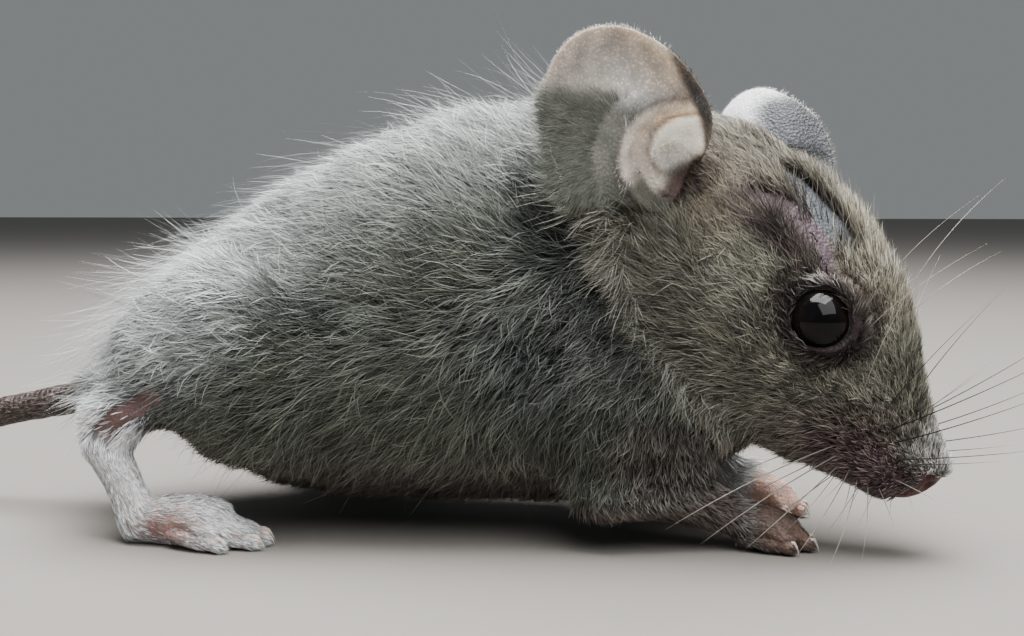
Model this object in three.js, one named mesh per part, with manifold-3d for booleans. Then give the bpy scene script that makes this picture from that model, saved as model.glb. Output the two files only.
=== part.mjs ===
// Young house mouse, life size, as a still model: crouched on its belly, head low and turned to its right.
// Millimetres. +X is forward (towards the nose), +Y is the animal's left, +Z is up, and the floor is z = 0.
// Every surface is the outer limit of the coat, out to the tips of the fur.
import * as THREE from "three";
import { mergeVertices } from "three/addons/utils/BufferGeometryUtils.js";
import Module from "manifold-3d";

const wasm = await Module();
wasm.setup();
const radians = THREE.MathUtils.degToRad;

// ---- Driving dimensions -----------------------------------------------------------------------------
const GAP = 0.28; // clearance between neighbouring pieces
const FLOOR_DIP = 0.22; // how far a sole reaches below the floor before it is trimmed to a flat
const BLOCK = 120; // side of a block that cuts off everything beyond a plane

// The middle of the whole animal's box, tail and all, measured from the middle of the body.
const CENTRE_X = -18.725;
const CENTRE_Y = 0.503;

// Trunk, as upright sections: place along X, height of the back, height of the belly, half width, egg.
// Egg widens the lower half of a section by that share and narrows the upper half.
const TRUNK_SECTIONS = [
  [-22.0, 7.7, 6.6, 0, 0],
  [-21.3, 9.3, 5.6, 2.4, 0],
  [-19.2, 11.6, 4.9, 4.9, 0.05],
  [-16.6, 13.9, 4.1, 6.8, 0.1],
  [-14.4, 15.6, 2.4, 7.9, 0.14],
  [-11.8, 17.3, 1.0, 8.7, 0.17],
  [-8.0, 19.2, 0.5, 9.1, 0.18],
  [-3.0, 21.0, 0.45, 9.1, 0.18],
  [2.0, 21.5, 0.5, 8.6, 0.16],
  [6.2, 20.6, 0.9, 7.8, 0.12],
  [9.8, 18.8, 2.0, 6.7, 0.06],
  [12.6, 16.0, 4.2, 4.8, 0],
  [14.2, 12.0, 8.0, 0, 0],
];
const SHOULDER_LINE = 4.2; // where the neck and chest end and the trunk begins
const SHOULDER_HEIGHT = 12; // at this height
const SHOULDER_SLOPE = -0.42; // the plane between them leans back towards the belly

// Head: its frame sits midway between the ear notches, X to the nose, Y to the left and Z to the crown.
const HEAD_AT = [10.6, -1.4, 15.2];
const HEAD_TURN = -18; // degrees about the vertical; minus is towards the animal's right
const HEAD_NOD = 42; // degrees nose-down
const HEAD_END = -4.4; // where the head stops behind the ears, in its own frame
// Sections in that frame: place along X, crown, underside, half width, egg.
const HEAD_SECTIONS = [
  [-8.5, 0.4, -2.6, 0, 0],
  [-7.0, 2.2, -5.2, 3.8, 0],
  [-3.6, 3.9, -7.6, 5.5, 0.02],
  [0.0, 4.8, -8.3, 6.0, 0.06],
  [3.4, 4.8, -8.1, 5.8, 0.08],
  [6.2, 4.25, -7.5, 5.2, 0.08],
  [8.6, 3.25, -6.9, 4.4, 0.05],
  [10.8, 1.95, -6.1, 3.5, 0.02],
  [12.8, 0.65, -5.1, 2.75, 0],
  [14.4, -0.2, -4.0, 2.0, 0],
  [15.3, -0.75, -3.1, 1.3, 0],
  [15.75, -1.6, -2.2, 0, 0],
];
// The pads that carry the whiskers, one each side of the muzzle (this one is the left).
const PAD_AT = [12.5, 1.35, -2.75];
const PAD_HALF_SIZE = [2.3, 1.6, 1.75];

// Eyes: globes that stand a little proud of the fur (the left one, in the head's frame).
const EYE_AT = [7.3, 3.35, 0.7];
const EYE_RADIUS = 1.55;

// Ears: a cupped oval leaf whose root turns in towards the skull.
const EAR_HALF_WIDTH = 3.55;
const EAR_HALF_HEIGHT = 4.9;
const EAR_THICKNESS = 0.62;
const EAR_CUP = 1.5; // how far the rim stands forward of the hollow
const EAR_CURL = 0.9; // how far the front edge curls over
const EAR_ROOT_DEPTH = 3.2;
const EAR_ROOT_THICKENING = 1.6;
const EAR_ROOT_NARROWING = 0.34;
const EAR_FOLD = { height: 0.5, across: 0.35, up: -0.3, width: 0.22, length: 0.35 };
// Where each ear is set, and its turn about the vertical, lean back and cant outwards, in degrees.
const EARS = {
  right: { at: [6.65, -7.55, 19.2], turn: 8, lean: -27, cant: 8 },
  left: { at: [12.3, 6.5, 17.4], turn: 148, lean: 22, cant: 8 },
};

// Toes and claws.
const HIND_TOE_RADIUS = 0.5;
const FORE_TOE_RADIUS = 0.45;
const CLAW_LENGTH = 0.6;
const CLAW_RADIUS = 0.17;
// Each toe of a right foot: sideways place of its root (inner side first), splay in degrees, length
// and set-back.
const HIND_TOES = [
  [1.15, 16, 1.6, 0.5],
  [0.62, 7, 2.4, 0],
  [0.02, 0, 2.6, 0],
  [-0.6, -8, 2.4, 0],
  [-1.2, -20, 1.6, 0.6],
];
const FORE_TOES = [
  [0.85, 20, 1.5, 0.2],
  [0.3, 6, 2.1, 0],
  [-0.3, -6, 2.1, 0],
  [-0.88, -22, 1.5, 0.25],
];

// Legs: the joints' places and the directions of the feet. The right hock is raised; the left foot is flat.
const LEGS = {
  right: {
    side: -1,
    haunchForward: 0,
    knee: [-11.0, -7.6, 8.2],
    hock: [-18.8, -7.3, 5.2],
    heel: [-16.5, -8.1, 1.3],
    ball: [-12.9, -8.2, 1.5],
    hindHeading: 0.08,
    elbow: [5.6, -6.4, 4.4],
    wrist: [11.2, -4.7, 1.5],
    palm: [12.9, -4.5, 1.2],
    foreHeading: 0.06,
  },
  left: {
    side: 1,
    haunchForward: 1.2,
    knee: [-7.4, 8.9, 6.4],
    hock: [-13.4, 8.8, 2.7],
    heel: [-11.6, 8.9, 1.2],
    ball: [-6.6, 9.1, 1.35],
    hindHeading: 0.12,
    elbow: [6.2, 5.8, 4.6],
    wrist: [10.6, 4.3, 1.75],
    palm: [12.6, 4.1, 1.3],
    foreHeading: -0.04,
  },
};

// Tail: centre line and radius, from the root to the tip, which lies along the floor.
const TAIL_SECTIONS = [
  [-19.6, 0, 7.2, 0],
  [-20.6, 0, 6.9, 1.15],
  [-23.2, 0.0, 5.85, 0.95],
  [-27.8, 0.3, 4.9, 0.86],
  [-32.6, 0.9, 3.3, 0.8],
  [-37.4, 1.9, 1.35, 0.72],
  [-42.0, 3.2, 0.56, 0.64],
  [-47.0, 4.6, 0.46, 0.56],
  [-52.0, 5.2, 0.4, 0.48],
  [-56.4, 4.6, 0.32, 0.38],
  [-58.4, 4.0, 0.28, 0],
];
const TAIL_CUTS = [-31.5, -44.5]; // where the tail is divided into its three lengths

// Facets round and along each kind of piece.
const TRUNK_FACETS = { around: 26, along: 18 };
const HEAD_FACETS = { around: 24, along: 16 };
const LIMB_FACETS = { around: 12, along: 8 };
const HAUNCH_FACETS = { around: 16, along: 10 };
const FOOT_FACETS = { around: 9, along: 10 };
const TOE_FACETS = { around: 6, along: 5 };
const CLAW_FACETS = { around: 4, along: 3 };
const TAIL_FACETS = { around: 8, along: 30 };

// ---- Materials --------------------------------------------------------------------------------------
const finish = (color, roughness) =>
  new THREE.MeshStandardMaterial({ color, roughness, metalness: 0, flatShading: true });
const BODY_COAT = finish(0x77756a, 0.9);
const FACE_COAT = finish(0x6c6656, 0.9);
const EAR_SKIN = finish(0xa08878, 0.7);
const EYE_GLOSS = finish(0x07080a, 0.08);
const FOOT_SKIN = finish(0xcbb2a8, 0.7);
const TAIL_SKIN = finish(0x6d5048, 0.75);

// ---- Solids -----------------------------------------------------------------------------------------
const V = (x, y, z) => new THREE.Vector3(x, y, z);
const at = (list) => V(...list);
const UP = V(0, 0, 1);

// A closed three.js geometry as a manifold solid.
function solidOf(geometry) {
  const bare = geometry.index ? geometry.toNonIndexed() : geometry.clone();
  bare.deleteAttribute("normal");
  bare.deleteAttribute("uv");
  const merged = mergeVertices(bare, 1e-4);
  return new wasm.Manifold(
    new wasm.Mesh({
      numProp: 3,
      vertProperties: new Float32Array(merged.attributes.position.array),
      triVerts: new Uint32Array(merged.index.array),
    }),
  );
}

// A manifold solid as a named mesh.
function meshOf(solid, name, material) {
  const { numProp, numVert, vertProperties, triVerts } = solid.getMesh();
  const positions = new Float32Array(numVert * 3);
  for (let i = 0; i < numVert; i++) {
    positions.set(vertProperties.subarray(i * numProp, i * numProp + 3), i * 3);
  }
  const geometry = new THREE.BufferGeometry()
    .setAttribute("position", new THREE.BufferAttribute(positions, 3))
    .setIndex(new THREE.BufferAttribute(new Uint32Array(triVerts), 1))
    .translate(-CENTRE_X, -CENTRE_Y, 0);
  geometry.computeVertexNormals();
  const mesh = new THREE.Mesh(geometry, material);
  mesh.name = name;
  return mesh;
}

const union = (first, ...others) => others.reduce((sum, each) => sum.add(each), first);

// What is left of a solid once others are taken away; slivers that come loose are dropped.
function without(first, ...others) {
  const rest = others.reduce((left, each) => left.subtract(each), first);
  return rest.decompose().reduce((best, each) => (each.volume() > best.volume() ? each : best));
}

// Moves every vertex of a geometry by a function that changes it in place.
function shaped(geometry, move) {
  const position = geometry.getAttribute("position");
  const p = new THREE.Vector3();
  for (let i = 0; i < position.count; i++) {
    p.fromBufferAttribute(position, i);
    move(p);
    position.setXYZ(i, p.x, p.y, p.z);
  }
  return geometry;
}

// Everything beyond a plane, on the side that its normal points to. distance slides the plane along it.
function beyond(point, normal, distance = 0) {
  const turn = new THREE.Quaternion().setFromUnitVectors(UP, normal);
  const foot = point.clone().addScaledVector(normal, distance);
  const block = new THREE.BoxGeometry(BLOCK, BLOCK, BLOCK).translate(0, 0, BLOCK / 2);
  return solidOf(block.applyQuaternion(turn).translate(foot.x, foot.y, foot.z));
}

const ball = (centre, radius) =>
  solidOf(new THREE.SphereGeometry(radius, 14, 10).translate(centre.x, centre.y, centre.z));

// A body lofted through sections, each { at, side, up, down, egg }: half sizes about its centre line.
// Squares of the half sizes are blended, so that an end section of size 0 comes out round. With upright
// set, the sections stand in planes across X. grow adds a margin all round.
function loft(sections, { around, along, grow = 0, upright = false }) {
  const through = (points) => new THREE.CatmullRomCurve3(points, false, "catmullrom", 0.5);
  const line = through(sections.map((s) => at(s.at)));
  const squares = through(sections.map((s) => V(s.side ** 2, s.up ** 2, (s.down ?? s.up) ** 2)));
  const eggs = through(sections.map((s) => V(s.egg ?? 0, 0, 0)));
  const tangent = new THREE.Vector3();
  const half = (square) => Math.sqrt(Math.max(square, 0)) + grow;
  return shaped(new THREE.SphereGeometry(1, around, along), (p) => {
    const ring = Math.hypot(p.x, p.z);
    const end = Math.abs(p.y) > 0.999999 ? -Math.sign(p.y) : 0; // -1 at the start, 1 at the end
    const [c, s] = ring > 1e-6 ? [p.x / ring, p.z / ring] : [0, 0];
    const t = THREE.MathUtils.clamp((1 - p.y) / 2, 0, 1);
    const size = squares.getPoint(t);
    const egg = eggs.getPoint(t).x;
    if (upright) tangent.set(1, 0, 0);
    else line.getTangent(t, tangent);
    const left = UP.clone().cross(tangent).normalize();
    const up = tangent.clone().cross(left);
    p.copy(line.getPoint(t))
      .addScaledVector(left, c * half(size.x) * (1 - egg * s))
      .addScaledVector(up, s * half(s > 0 ? size.y : size.z))
      .addScaledVector(tangent, grow * end);
  });
}

// ---- Trunk and head ---------------------------------------------------------------------------------
const upright = ([x, top, bottom, side, egg]) => ({
  at: [x, 0, (top + bottom) / 2],
  side,
  up: (top - bottom) / 2,
  egg,
});

const headFrame = new THREE.Matrix4()
  .makeTranslation(...HEAD_AT)
  .multiply(new THREE.Matrix4().makeRotationZ(radians(HEAD_TURN)))
  .multiply(new THREE.Matrix4().makeRotationY(radians(HEAD_NOD)));
const onHead = (x, y, z) => V(x, y, z).applyMatrix4(headFrame);

function whiskerPad(side, grow) {
  return new THREE.SphereGeometry(1, 10, 6)
    .scale(...PAD_HALF_SIZE.map((half) => half + grow))
    .translate(PAD_AT[0], side * PAD_AT[1], PAD_AT[2])
    .applyMatrix4(headFrame);
}

// The skull with its muzzle, and the barrel of the body with its shoulders, each with a margin of grow.
const skull = (grow) =>
  union(
    solidOf(loft(HEAD_SECTIONS.map(upright), { ...HEAD_FACETS, grow }).applyMatrix4(headFrame)),
    solidOf(whiskerPad(1, grow)),
    solidOf(whiskerPad(-1, grow)),
  );
const shoulder = (side) => [
  { at: [1.6, side * 6.2, 8.0], side: 0, up: 0 },
  { at: [3.6, side * 6.4, 7.6], side: 2.2, up: 4.4 },
  { at: [7.2, side * 5.9, 7.0], side: 2.6, up: 5.0 },
  { at: [10.6, side * 4.8, 6.0], side: 1.8, up: 3.4 },
  { at: [12.0, side * 4.2, 5.2], side: 0, up: 0 },
];
const barrel = (grow) =>
  union(
    solidOf(loft(TRUNK_SECTIONS.map(upright), { ...TRUNK_FACETS, grow, upright: true })),
    solidOf(loft(shoulder(1), { ...LIMB_FACETS, grow })),
    solidOf(loft(shoulder(-1), { ...LIMB_FACETS, grow })),
  );

// ---- Ears -------------------------------------------------------------------------------------------
// An ear in its own frame: X across to the front edge, Z up to the tip, and the hollow facing -Y.
function earLeaf() {
  return shaped(new THREE.SphereGeometry(1, 24, 9), (p) => {
    const { x: across, y: through, z: up } = p;
    const root = THREE.MathUtils.smoothstep(-up, 0.1, 1); // 0 over the leaf, 1 at the root
    const front = THREE.MathUtils.smoothstep(across, 0.2, 1);
    const cup = EAR_CUP * (1 - across * across - up * up) - EAR_CURL * front * front;
    const flare = 2.2 * root * across * across;
    const turnedIn = EAR_ROOT_DEPTH * root * (1 - 0.6 * across * across);
    const fold =
      EAR_FOLD.height *
      Math.exp(
        -(((across - EAR_FOLD.across) / EAR_FOLD.width) ** 2) - ((up - EAR_FOLD.up) / EAR_FOLD.length) ** 2,
      );
    p.set(
      across * EAR_HALF_WIDTH * (1 - EAR_ROOT_NARROWING * root),
      (through * EAR_THICKNESS * (1 + EAR_ROOT_THICKENING * root)) / 2 + cup + turnedIn - flare - fold,
      up * EAR_HALF_HEIGHT,
    );
  });
}
const earFrame = ({ at: place, turn, lean, cant }) =>
  new THREE.Matrix4()
    .makeTranslation(...place)
    .multiply(new THREE.Matrix4().makeRotationZ(radians(turn)))
    .multiply(new THREE.Matrix4().makeRotationY(radians(lean)))
    .multiply(new THREE.Matrix4().makeRotationX(radians(cant)));

// ---- Limbs ------------------------------------------------------------------------------------------
const haunch = ({ side, haunchForward: f }) => [
  { at: [-18.6 + f, side * 5.6, 7.6], side: 0, up: 0 },
  { at: [-17.2 + f, side * 6.2, 8.1], side: 2.2, up: 2.9 },
  { at: [-13.4 + f, side * 6.6, 8.6], side: 3.3, up: 5.4 },
  { at: [-9.2 + f, side * 6.9, 7.6], side: 2.9, up: 5.0 },
  { at: [-6.0 + f, side * 6.9, 6.6], side: 0, up: 0 },
];
const shifted = (place, x, y, z) => at(place).add(V(x, y, z)).toArray();
const between = (a, b, share) => at(a).lerp(at(b), share).toArray();

const shank = ({ knee, hock }) => [
  { at: shifted(knee, 1.6, 0, 0.2), side: 0, up: 0 },
  { at: knee, side: 2.0, up: 3.0 },
  { at: between(knee, hock, 0.55), side: 1.5, up: 1.8, down: 1.5 },
  { at: shifted(hock, 0.25, 0, 0.5), side: 1.2, up: 1.5, down: 1.25 },
  { at: shifted(hock, -1.1, 0, 0.1), side: 0, up: 0 },
];
const foreleg = ({ elbow, wrist }) => [
  { at: shifted(elbow, -2.4, 0, 1.0), side: 0, up: 0 },
  { at: elbow, side: 1.7, up: 3.0, down: 3.2 },
  { at: between(elbow, wrist, 0.55), side: 1.35, up: 1.9, down: 1.7 },
  { at: wrist, side: 1.0, up: 1.1 },
  { at: shifted(wrist, 1.2, 0, -0.1), side: 0, up: 0 },
];

// The forward and leftward directions of a foot that heads so many radians to the left of +X.
const footAxes = (heading) => {
  const [c, s] = [Math.cos(heading), Math.sin(heading)];
  return [V(c, s, 0), V(-s, c, 0)];
};

// A toe runs from its root over a knuckle down to the floor at its tip, with a claw beyond.
function toe(root, heading, length, radius) {
  const [ahead] = footAxes(heading);
  const along = (share, height) =>
    root.clone().addScaledVector(ahead, share * length).setZ(height).toArray();
  const flesh = [
    { at: along(-0.3, root.z), side: 0, up: 0 },
    { at: along(0, root.z), side: radius * 1.05, up: radius * 1.05 },
    { at: along(0.5, root.z * 0.82), side: radius, up: radius },
    { at: along(0.86, radius * 0.95), side: radius * 0.92, up: radius * 0.92 },
    { at: along(1, radius * 0.8), side: 0, up: 0 },
  ];
  const beyondTip = (share) => 1 + (share * CLAW_LENGTH) / length;
  const claw = [
    { at: along(0.9, radius * 1.1), side: 0, up: 0 },
    { at: along(0.96, radius * 1.1), side: CLAW_RADIUS, up: CLAW_RADIUS },
    { at: along(beyondTip(0.6), radius * 0.75), side: CLAW_RADIUS * 0.75, up: CLAW_RADIUS * 0.75 },
    { at: along(beyondTip(1), radius * 0.3), side: 0, up: 0 },
  ];
  return union(solidOf(loft(flesh, TOE_FACETS)), solidOf(loft(claw, CLAW_FACETS)));
}

// The toes of a foot, fanned out from the point that its middle toe starts from.
function toes(root, heading, side, fan, radius) {
  const [ahead, leftward] = footAxes(heading);
  return fan.map(([place, splay, length, back]) =>
    toe(
      root.clone().addScaledVector(leftward, -side * place).addScaledVector(ahead, -back),
      heading - side * radians(splay),
      length,
      radius,
    ),
  );
}

// A hind foot: up to the hock at the back, flat on the floor from the heel to the ball, then the toes.
function hindFoot({ side, hock, heel, ball: tread, hindHeading }) {
  const arch = between(heel, tread, 0.45);
  const [ahead] = footAxes(hindHeading);
  const sole = [
    { at: shifted(hock, -0.2, 0, 1.3), side: 0, up: 0 },
    { at: hock, side: 1.15, up: 1.3 },
    { at: between(hock, heel, 0.5), side: 0.95, up: 1.05 },
    { at: heel, side: 1.05, up: 1.2, down: heel[2] + FLOOR_DIP },
    { at: arch, side: 1.2, up: 1.1, down: arch[2] + FLOOR_DIP },
    { at: tread, side: 1.6, up: 0.95, down: tread[2] + FLOOR_DIP },
    { at: at(tread).addScaledVector(ahead, 1.1).toArray(), side: 0, up: 0 },
  ];
  const root = at(shifted(tread, 0, 0, -0.25));
  const fan = toes(root, hindHeading, side, HIND_TOES, HIND_TOE_RADIUS);
  return union(solidOf(loft(sole, FOOT_FACETS)), ...fan);
}

// A forepaw: wrist, palm and toes.
function forePaw({ side, wrist, palm, foreHeading }) {
  const [ahead] = footAxes(foreHeading);
  const forward = (place, distance) => at(place).addScaledVector(ahead, distance).toArray();
  const hand = [
    { at: forward(wrist, -1.4), side: 0, up: 0 },
    { at: wrist, side: 1.0, up: 1.0 },
    { at: palm, side: 1.35, up: 0.95, down: palm[2] + FLOOR_DIP },
    { at: forward(palm, 0.8), side: 1.2, up: 0.7, down: palm[2] + FLOOR_DIP },
    { at: forward(palm, 1.5), side: 0, up: 0 },
  ];
  const fan = toes(at(palm), foreHeading, side, FORE_TOES, FORE_TOE_RADIUS);
  return union(solidOf(loft(hand, FOOT_FACETS)), ...fan);
}

// ---- The pieces -------------------------------------------------------------------------------------
const mouse = new THREE.Group();
const add = (solid, name, material) => mouse.add(meshOf(solid, name, material));

const aboveFloor = beyond(V(0, 0, 0), UP);
const grownBody = union(barrel(GAP), skull(GAP));
const eyes = { right: onHead(EYE_AT[0], -EYE_AT[1], EYE_AT[2]), left: onHead(...EYE_AT) };

// The head ends at a plane behind the ears, and the neck and chest at one through the shoulders.
const nape = onHead(HEAD_END, 0, 0);
const towardsNose = V(1, 0, 0).transformDirection(headFrame);
const sockets = Object.values(eyes).map((centre) => ball(centre, EYE_RADIUS + GAP));
const head = without(skull(0).intersect(beyond(nape, towardsNose)), ...sockets);
const headRoom = skull(GAP).intersect(beyond(nape, towardsNose, -GAP));
const body = union(barrel(0), skull(0)).subtract(headRoom);
const shoulders = V(SHOULDER_LINE, 0, SHOULDER_HEIGHT);
const forward = V(1, 0, SHOULDER_SLOPE).normalize();
add(head, "head", FACE_COAT);
add(without(body.intersect(beyond(shoulders, forward, GAP / 2))), "neck", BODY_COAT);
add(without(body, beyond(shoulders, forward, -GAP / 2)), "trunk", BODY_COAT);

// Legs: each length is cut back from the one that carries it.
for (const [name, leg] of Object.entries(LEGS)) {
  const limb = (sections, facets, grow = 0) => solidOf(loft(sections, { ...facets, grow }));
  const grownHaunch = limb(haunch(leg), HAUNCH_FACETS, GAP);
  const grownShank = limb(shank(leg), LIMB_FACETS, GAP);
  const grownForeleg = limb(foreleg(leg), LIMB_FACETS, GAP);
  const trimmed = (solid, ...carriers) => without(solid, grownBody, ...carriers).intersect(aboveFloor);
  add(trimmed(limb(haunch(leg), HAUNCH_FACETS)), `thigh_${name}`, BODY_COAT);
  add(trimmed(limb(shank(leg), LIMB_FACETS), grownHaunch), `shank_${name}`, BODY_COAT);
  add(trimmed(hindFoot(leg), grownShank), `hindfoot_${name}`, FOOT_SKIN);
  add(trimmed(limb(foreleg(leg), LIMB_FACETS)), `foreleg_${name}`, BODY_COAT);
  add(trimmed(forePaw(leg), grownForeleg), `forepaw_${name}`, FOOT_SKIN);
}

// Tail: one tapering length of flesh, divided in three.
const tailLine = TAIL_SECTIONS.map(([x, y, z, radius]) => ({ at: [x, y, z], side: radius, up: radius }));
const tail = solidOf(loft(tailLine, TAIL_FACETS)).intersect(aboveFloor).subtract(grownBody);
const behind = (x, distance) => beyond(V(x, 0, 0), V(-1, 0, 0), distance);
const [firstCut, secondCut] = TAIL_CUTS;
add(without(tail, behind(firstCut, -GAP / 2)), "tail_base", TAIL_SKIN);
const rearTail = tail.intersect(behind(firstCut, GAP / 2));
add(without(rearTail, behind(secondCut, -GAP / 2)), "tail_middle", TAIL_SKIN);
add(without(rearTail.intersect(behind(secondCut, GAP / 2))), "tail_tip", TAIL_SKIN);

for (const name of ["right", "left"]) {
  add(ball(eyes[name], EYE_RADIUS), `eye_${name}`, EYE_GLOSS);
  const leaf = solidOf(earLeaf().applyMatrix4(earFrame(EARS[name])));
  add(without(leaf, grownBody), `ear_${name}`, EAR_SKIN);
}

export default mouse;
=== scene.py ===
"""A young house mouse as a still, life-size museum model: one skin, eyes, claws, whiskers and coat.

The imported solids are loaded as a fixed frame. The skin is grown from copies of them, and the coat is
rooted in the skin. Lengths are in millimetres until a piece is finished, and then in metres.
"""

import math

import bmesh
import bpy
import numpy as np
from mathutils import Matrix, Vector
from mathutils.bvhtree import BVHTree
from mathutils.kdtree import KDTree


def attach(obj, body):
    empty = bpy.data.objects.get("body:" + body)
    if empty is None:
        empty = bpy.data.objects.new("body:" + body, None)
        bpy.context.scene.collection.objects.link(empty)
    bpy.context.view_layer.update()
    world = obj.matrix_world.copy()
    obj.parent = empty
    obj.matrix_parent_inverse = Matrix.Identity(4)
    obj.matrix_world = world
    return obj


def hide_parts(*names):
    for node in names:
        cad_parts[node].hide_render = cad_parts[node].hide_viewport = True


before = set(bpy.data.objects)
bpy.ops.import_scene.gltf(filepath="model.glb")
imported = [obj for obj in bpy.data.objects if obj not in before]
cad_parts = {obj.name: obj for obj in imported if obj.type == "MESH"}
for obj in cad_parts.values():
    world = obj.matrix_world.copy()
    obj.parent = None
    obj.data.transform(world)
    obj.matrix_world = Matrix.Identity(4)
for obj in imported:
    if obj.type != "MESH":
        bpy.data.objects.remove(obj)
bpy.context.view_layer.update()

bl_info = {
    "name": "House Mouse",
    "version": (1, 0, 0),
    "blender": (4, 5, 0),
    "location": "View3D > Sidebar > House Mouse",
    "description": "Dresses the solids of a young house mouse in skin, coat, eyes, claws and whiskers",
    "category": "Object",
}

MM = 0.001
SEED = 20

# ---- The animal's own measures, which the solids follow too (mm) ------------------------------------
MODEL_SHIFT = Vector((18.725, -0.503, 0.0))  # from the body's own middle to the model's
HEAD_FRAME = (
    Matrix.Translation(Vector((10.6, -1.4, 15.2)) + MODEL_SHIFT)
    @ Matrix.Rotation(math.radians(-18), 4, "Z")
    @ Matrix.Rotation(math.radians(42), 4, "Y")
)
EYE_AT = Vector((7.3, 3.35, 0.7))
EYE_RADIUS = 1.55
EYE_FACING = Vector((0.16, 1.0, 0.14)).normalized()
EYE_OPENING = (1.19, 1.25)  # half length and half height of the opening between the lids
OPENING_AT = (-0.17, 0.12)  # its middle, towards the nose and up, from the middle of the eyeball
LID_BACK = math.radians(125)  # how far back over the eyeball the lids reach, from its front
LID_RADIUS = 0.11
EARS = {
    "right": ((6.65, -7.55, 19.2), 8, -27, 8),  # place, turn, lean and cant
    "left": ((12.3, 6.5, 17.4), 148, 22, 8),
}
EAR_HALF_WIDTH = 3.55
EAR_HALF_HEIGHT = 4.9
EAR_THICKNESS = 0.4
CONCHA_AT = (1.55, -2.47)  # middle of the bowl, in front of and below the middle of the leaf
SIDES = {"right": -1, "left": 1}
LEGS = {
    "right": {
        "hip": (-13.4, -6.6, 8.6), "knee": (-11.0, -7.6, 8.2), "hock": (-18.8, -7.3, 5.2),
        "heel": (-16.5, -8.1, 1.3), "ball": (-12.9, -8.2, 1.5), "hind_heading": 0.08,
        "shoulder": (7.0, -5.9, 8.0), "elbow": (5.6, -6.4, 4.4), "wrist": (11.2, -4.7, 1.5),
        "palm": (12.9, -4.5, 1.2), "fore_heading": 0.06,
    },
    "left": {
        "hip": (-12.2, 6.6, 8.6), "knee": (-7.4, 8.9, 6.4), "hock": (-13.4, 8.8, 2.7),
        "heel": (-11.6, 8.9, 1.2), "ball": (-6.6, 9.1, 1.35), "hind_heading": 0.12,
        "shoulder": (7.0, 5.9, 8.0), "elbow": (6.2, 5.8, 4.6), "wrist": (10.6, 4.3, 1.75),
        "palm": (12.6, 4.1, 1.3), "fore_heading": -0.04,
    },
}
# Each toe: its place across the foot, its splay in degrees, its length and how far back it starts.
HIND_TOES = ((1.15, 16, 1.6, 0.5), (0.62, 7, 2.4, 0), (0.02, 0, 2.6, 0), (-0.6, -8, 2.4, 0),
             (-1.2, -20, 1.6, 0.6))
FORE_TOES = ((0.85, 20, 1.5, 0.2), (0.3, 6, 2.1, 0), (-0.3, -6, 2.1, 0), (-0.88, -22, 1.5, 0.25))
HIND_TOE_RADIUS = 0.5
FORE_TOE_RADIUS = 0.45
CLAWS = {"hindfoot": (0.7, 0.15), "forepaw": (0.4, 0.12)}  # length and radius at the root
TAIL_LINE = ((-19.6, 0, 7.2), (-23.2, 0, 5.85), (-27.8, 0.3, 4.9), (-32.6, 0.9, 3.3), (-37.4, 1.9, 1.35),
             (-42, 3.2, 0.56), (-47, 4.6, 0.46), (-52, 5.2, 0.4), (-56.4, 4.6, 0.32), (-58.4, 4, 0.28))

# ---- How the skin is made ---------------------------------------------------------------------------
VOXEL = 0.23
SWELL = 0.2  # closes the thin cuts between the solids before they are made one
NEIGHBOURS = 8

# How each region is dressed: depth of coat over the skin, length and half width of a hair (mm), how
# crowded the hairs are beside the flank's, how bare the skin shows, and rounds of smoothing.
REGIONS = {
    "head": (0.5, 1.3, 0.019, 1.0, 0.0, 26),
    "neck": (1.0, 2.1, 0.025, 1.0, 0.0, 40),
    "trunk": (1.1, 2.5, 0.026, 1.0, 0.0, 40),
    "thigh": (0.9, 2.2, 0.026, 1.0, 0.0, 40),
    "shank": (0.25, 0.85, 0.021, 2.0, 0.1, 14),
    "hindfoot": (0.08, 0.6, 0.018, 2.8, 0.75, 3),
    "foreleg": (0.35, 0.9, 0.020, 1.5, 0.2, 14),
    "forepaw": (0.06, 0.35, 0.011, 1.8, 0.9, 3),
    "tail": (0.04, 0.6, 0.016, 0.8, 0.9, 5),
    "ear": (0.0, 0.4, 0.009, 1.0, 1.0, 0),
}
DEPTH, LENGTH, WIDTH, CROWD, BARE, ROUNDS = range(6)
ALL_BODY = ("neck", "trunk", "thigh")


def ease(value, low, high):
    """0 below low, 1 above high and a smooth step between; low may be the larger."""
    share = np.clip((value - low) / (high - low), 0.0, 1.0)
    return share * share * (3.0 - 2.0 * share)


def bump(points, centre, size):
    """A soft hill: 1 at the centre and falling to nothing over size along each axis."""
    away = (points - np.array(centre)) / np.array(size)
    return np.exp(-(away**2).sum(axis=1))


def blended(a, b, share):
    """Two colours, or lists of them, mixed by a share for each point."""
    share = np.asarray(share)[:, None]
    return np.asarray(a) * (1 - share) + np.asarray(b) * share


def linear(code):
    """An sRGB hex colour as the linear red, green and blue that Blender works in."""
    parts = [int(code[i:i + 2], 16) / 255 for i in (1, 3, 5)]
    return tuple(p / 12.92 if p <= 0.04045 else ((p + 0.055) / 1.055) ** 2.4 for p in parts)


def unit(vectors):
    """Vectors of length one."""
    return vectors / np.maximum(np.linalg.norm(vectors, axis=1, keepdims=True), 1e-9)


def placed(matrix, points):
    """Points carried by a matrix."""
    turn = np.array(matrix.to_3x3())
    return np.asarray(points) @ turn.T + np.array(matrix.translation)


def into(matrix, points):
    """Points of the model seen in the frame that the matrix places."""
    turn = np.array(matrix.to_3x3())
    return (np.asarray(points) - np.array(matrix.translation)) @ turn


def shifted(*points):
    """Points of the body's own frame in the model's frame."""
    return [Vector(p) + MODEL_SHIFT for p in points]


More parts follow.
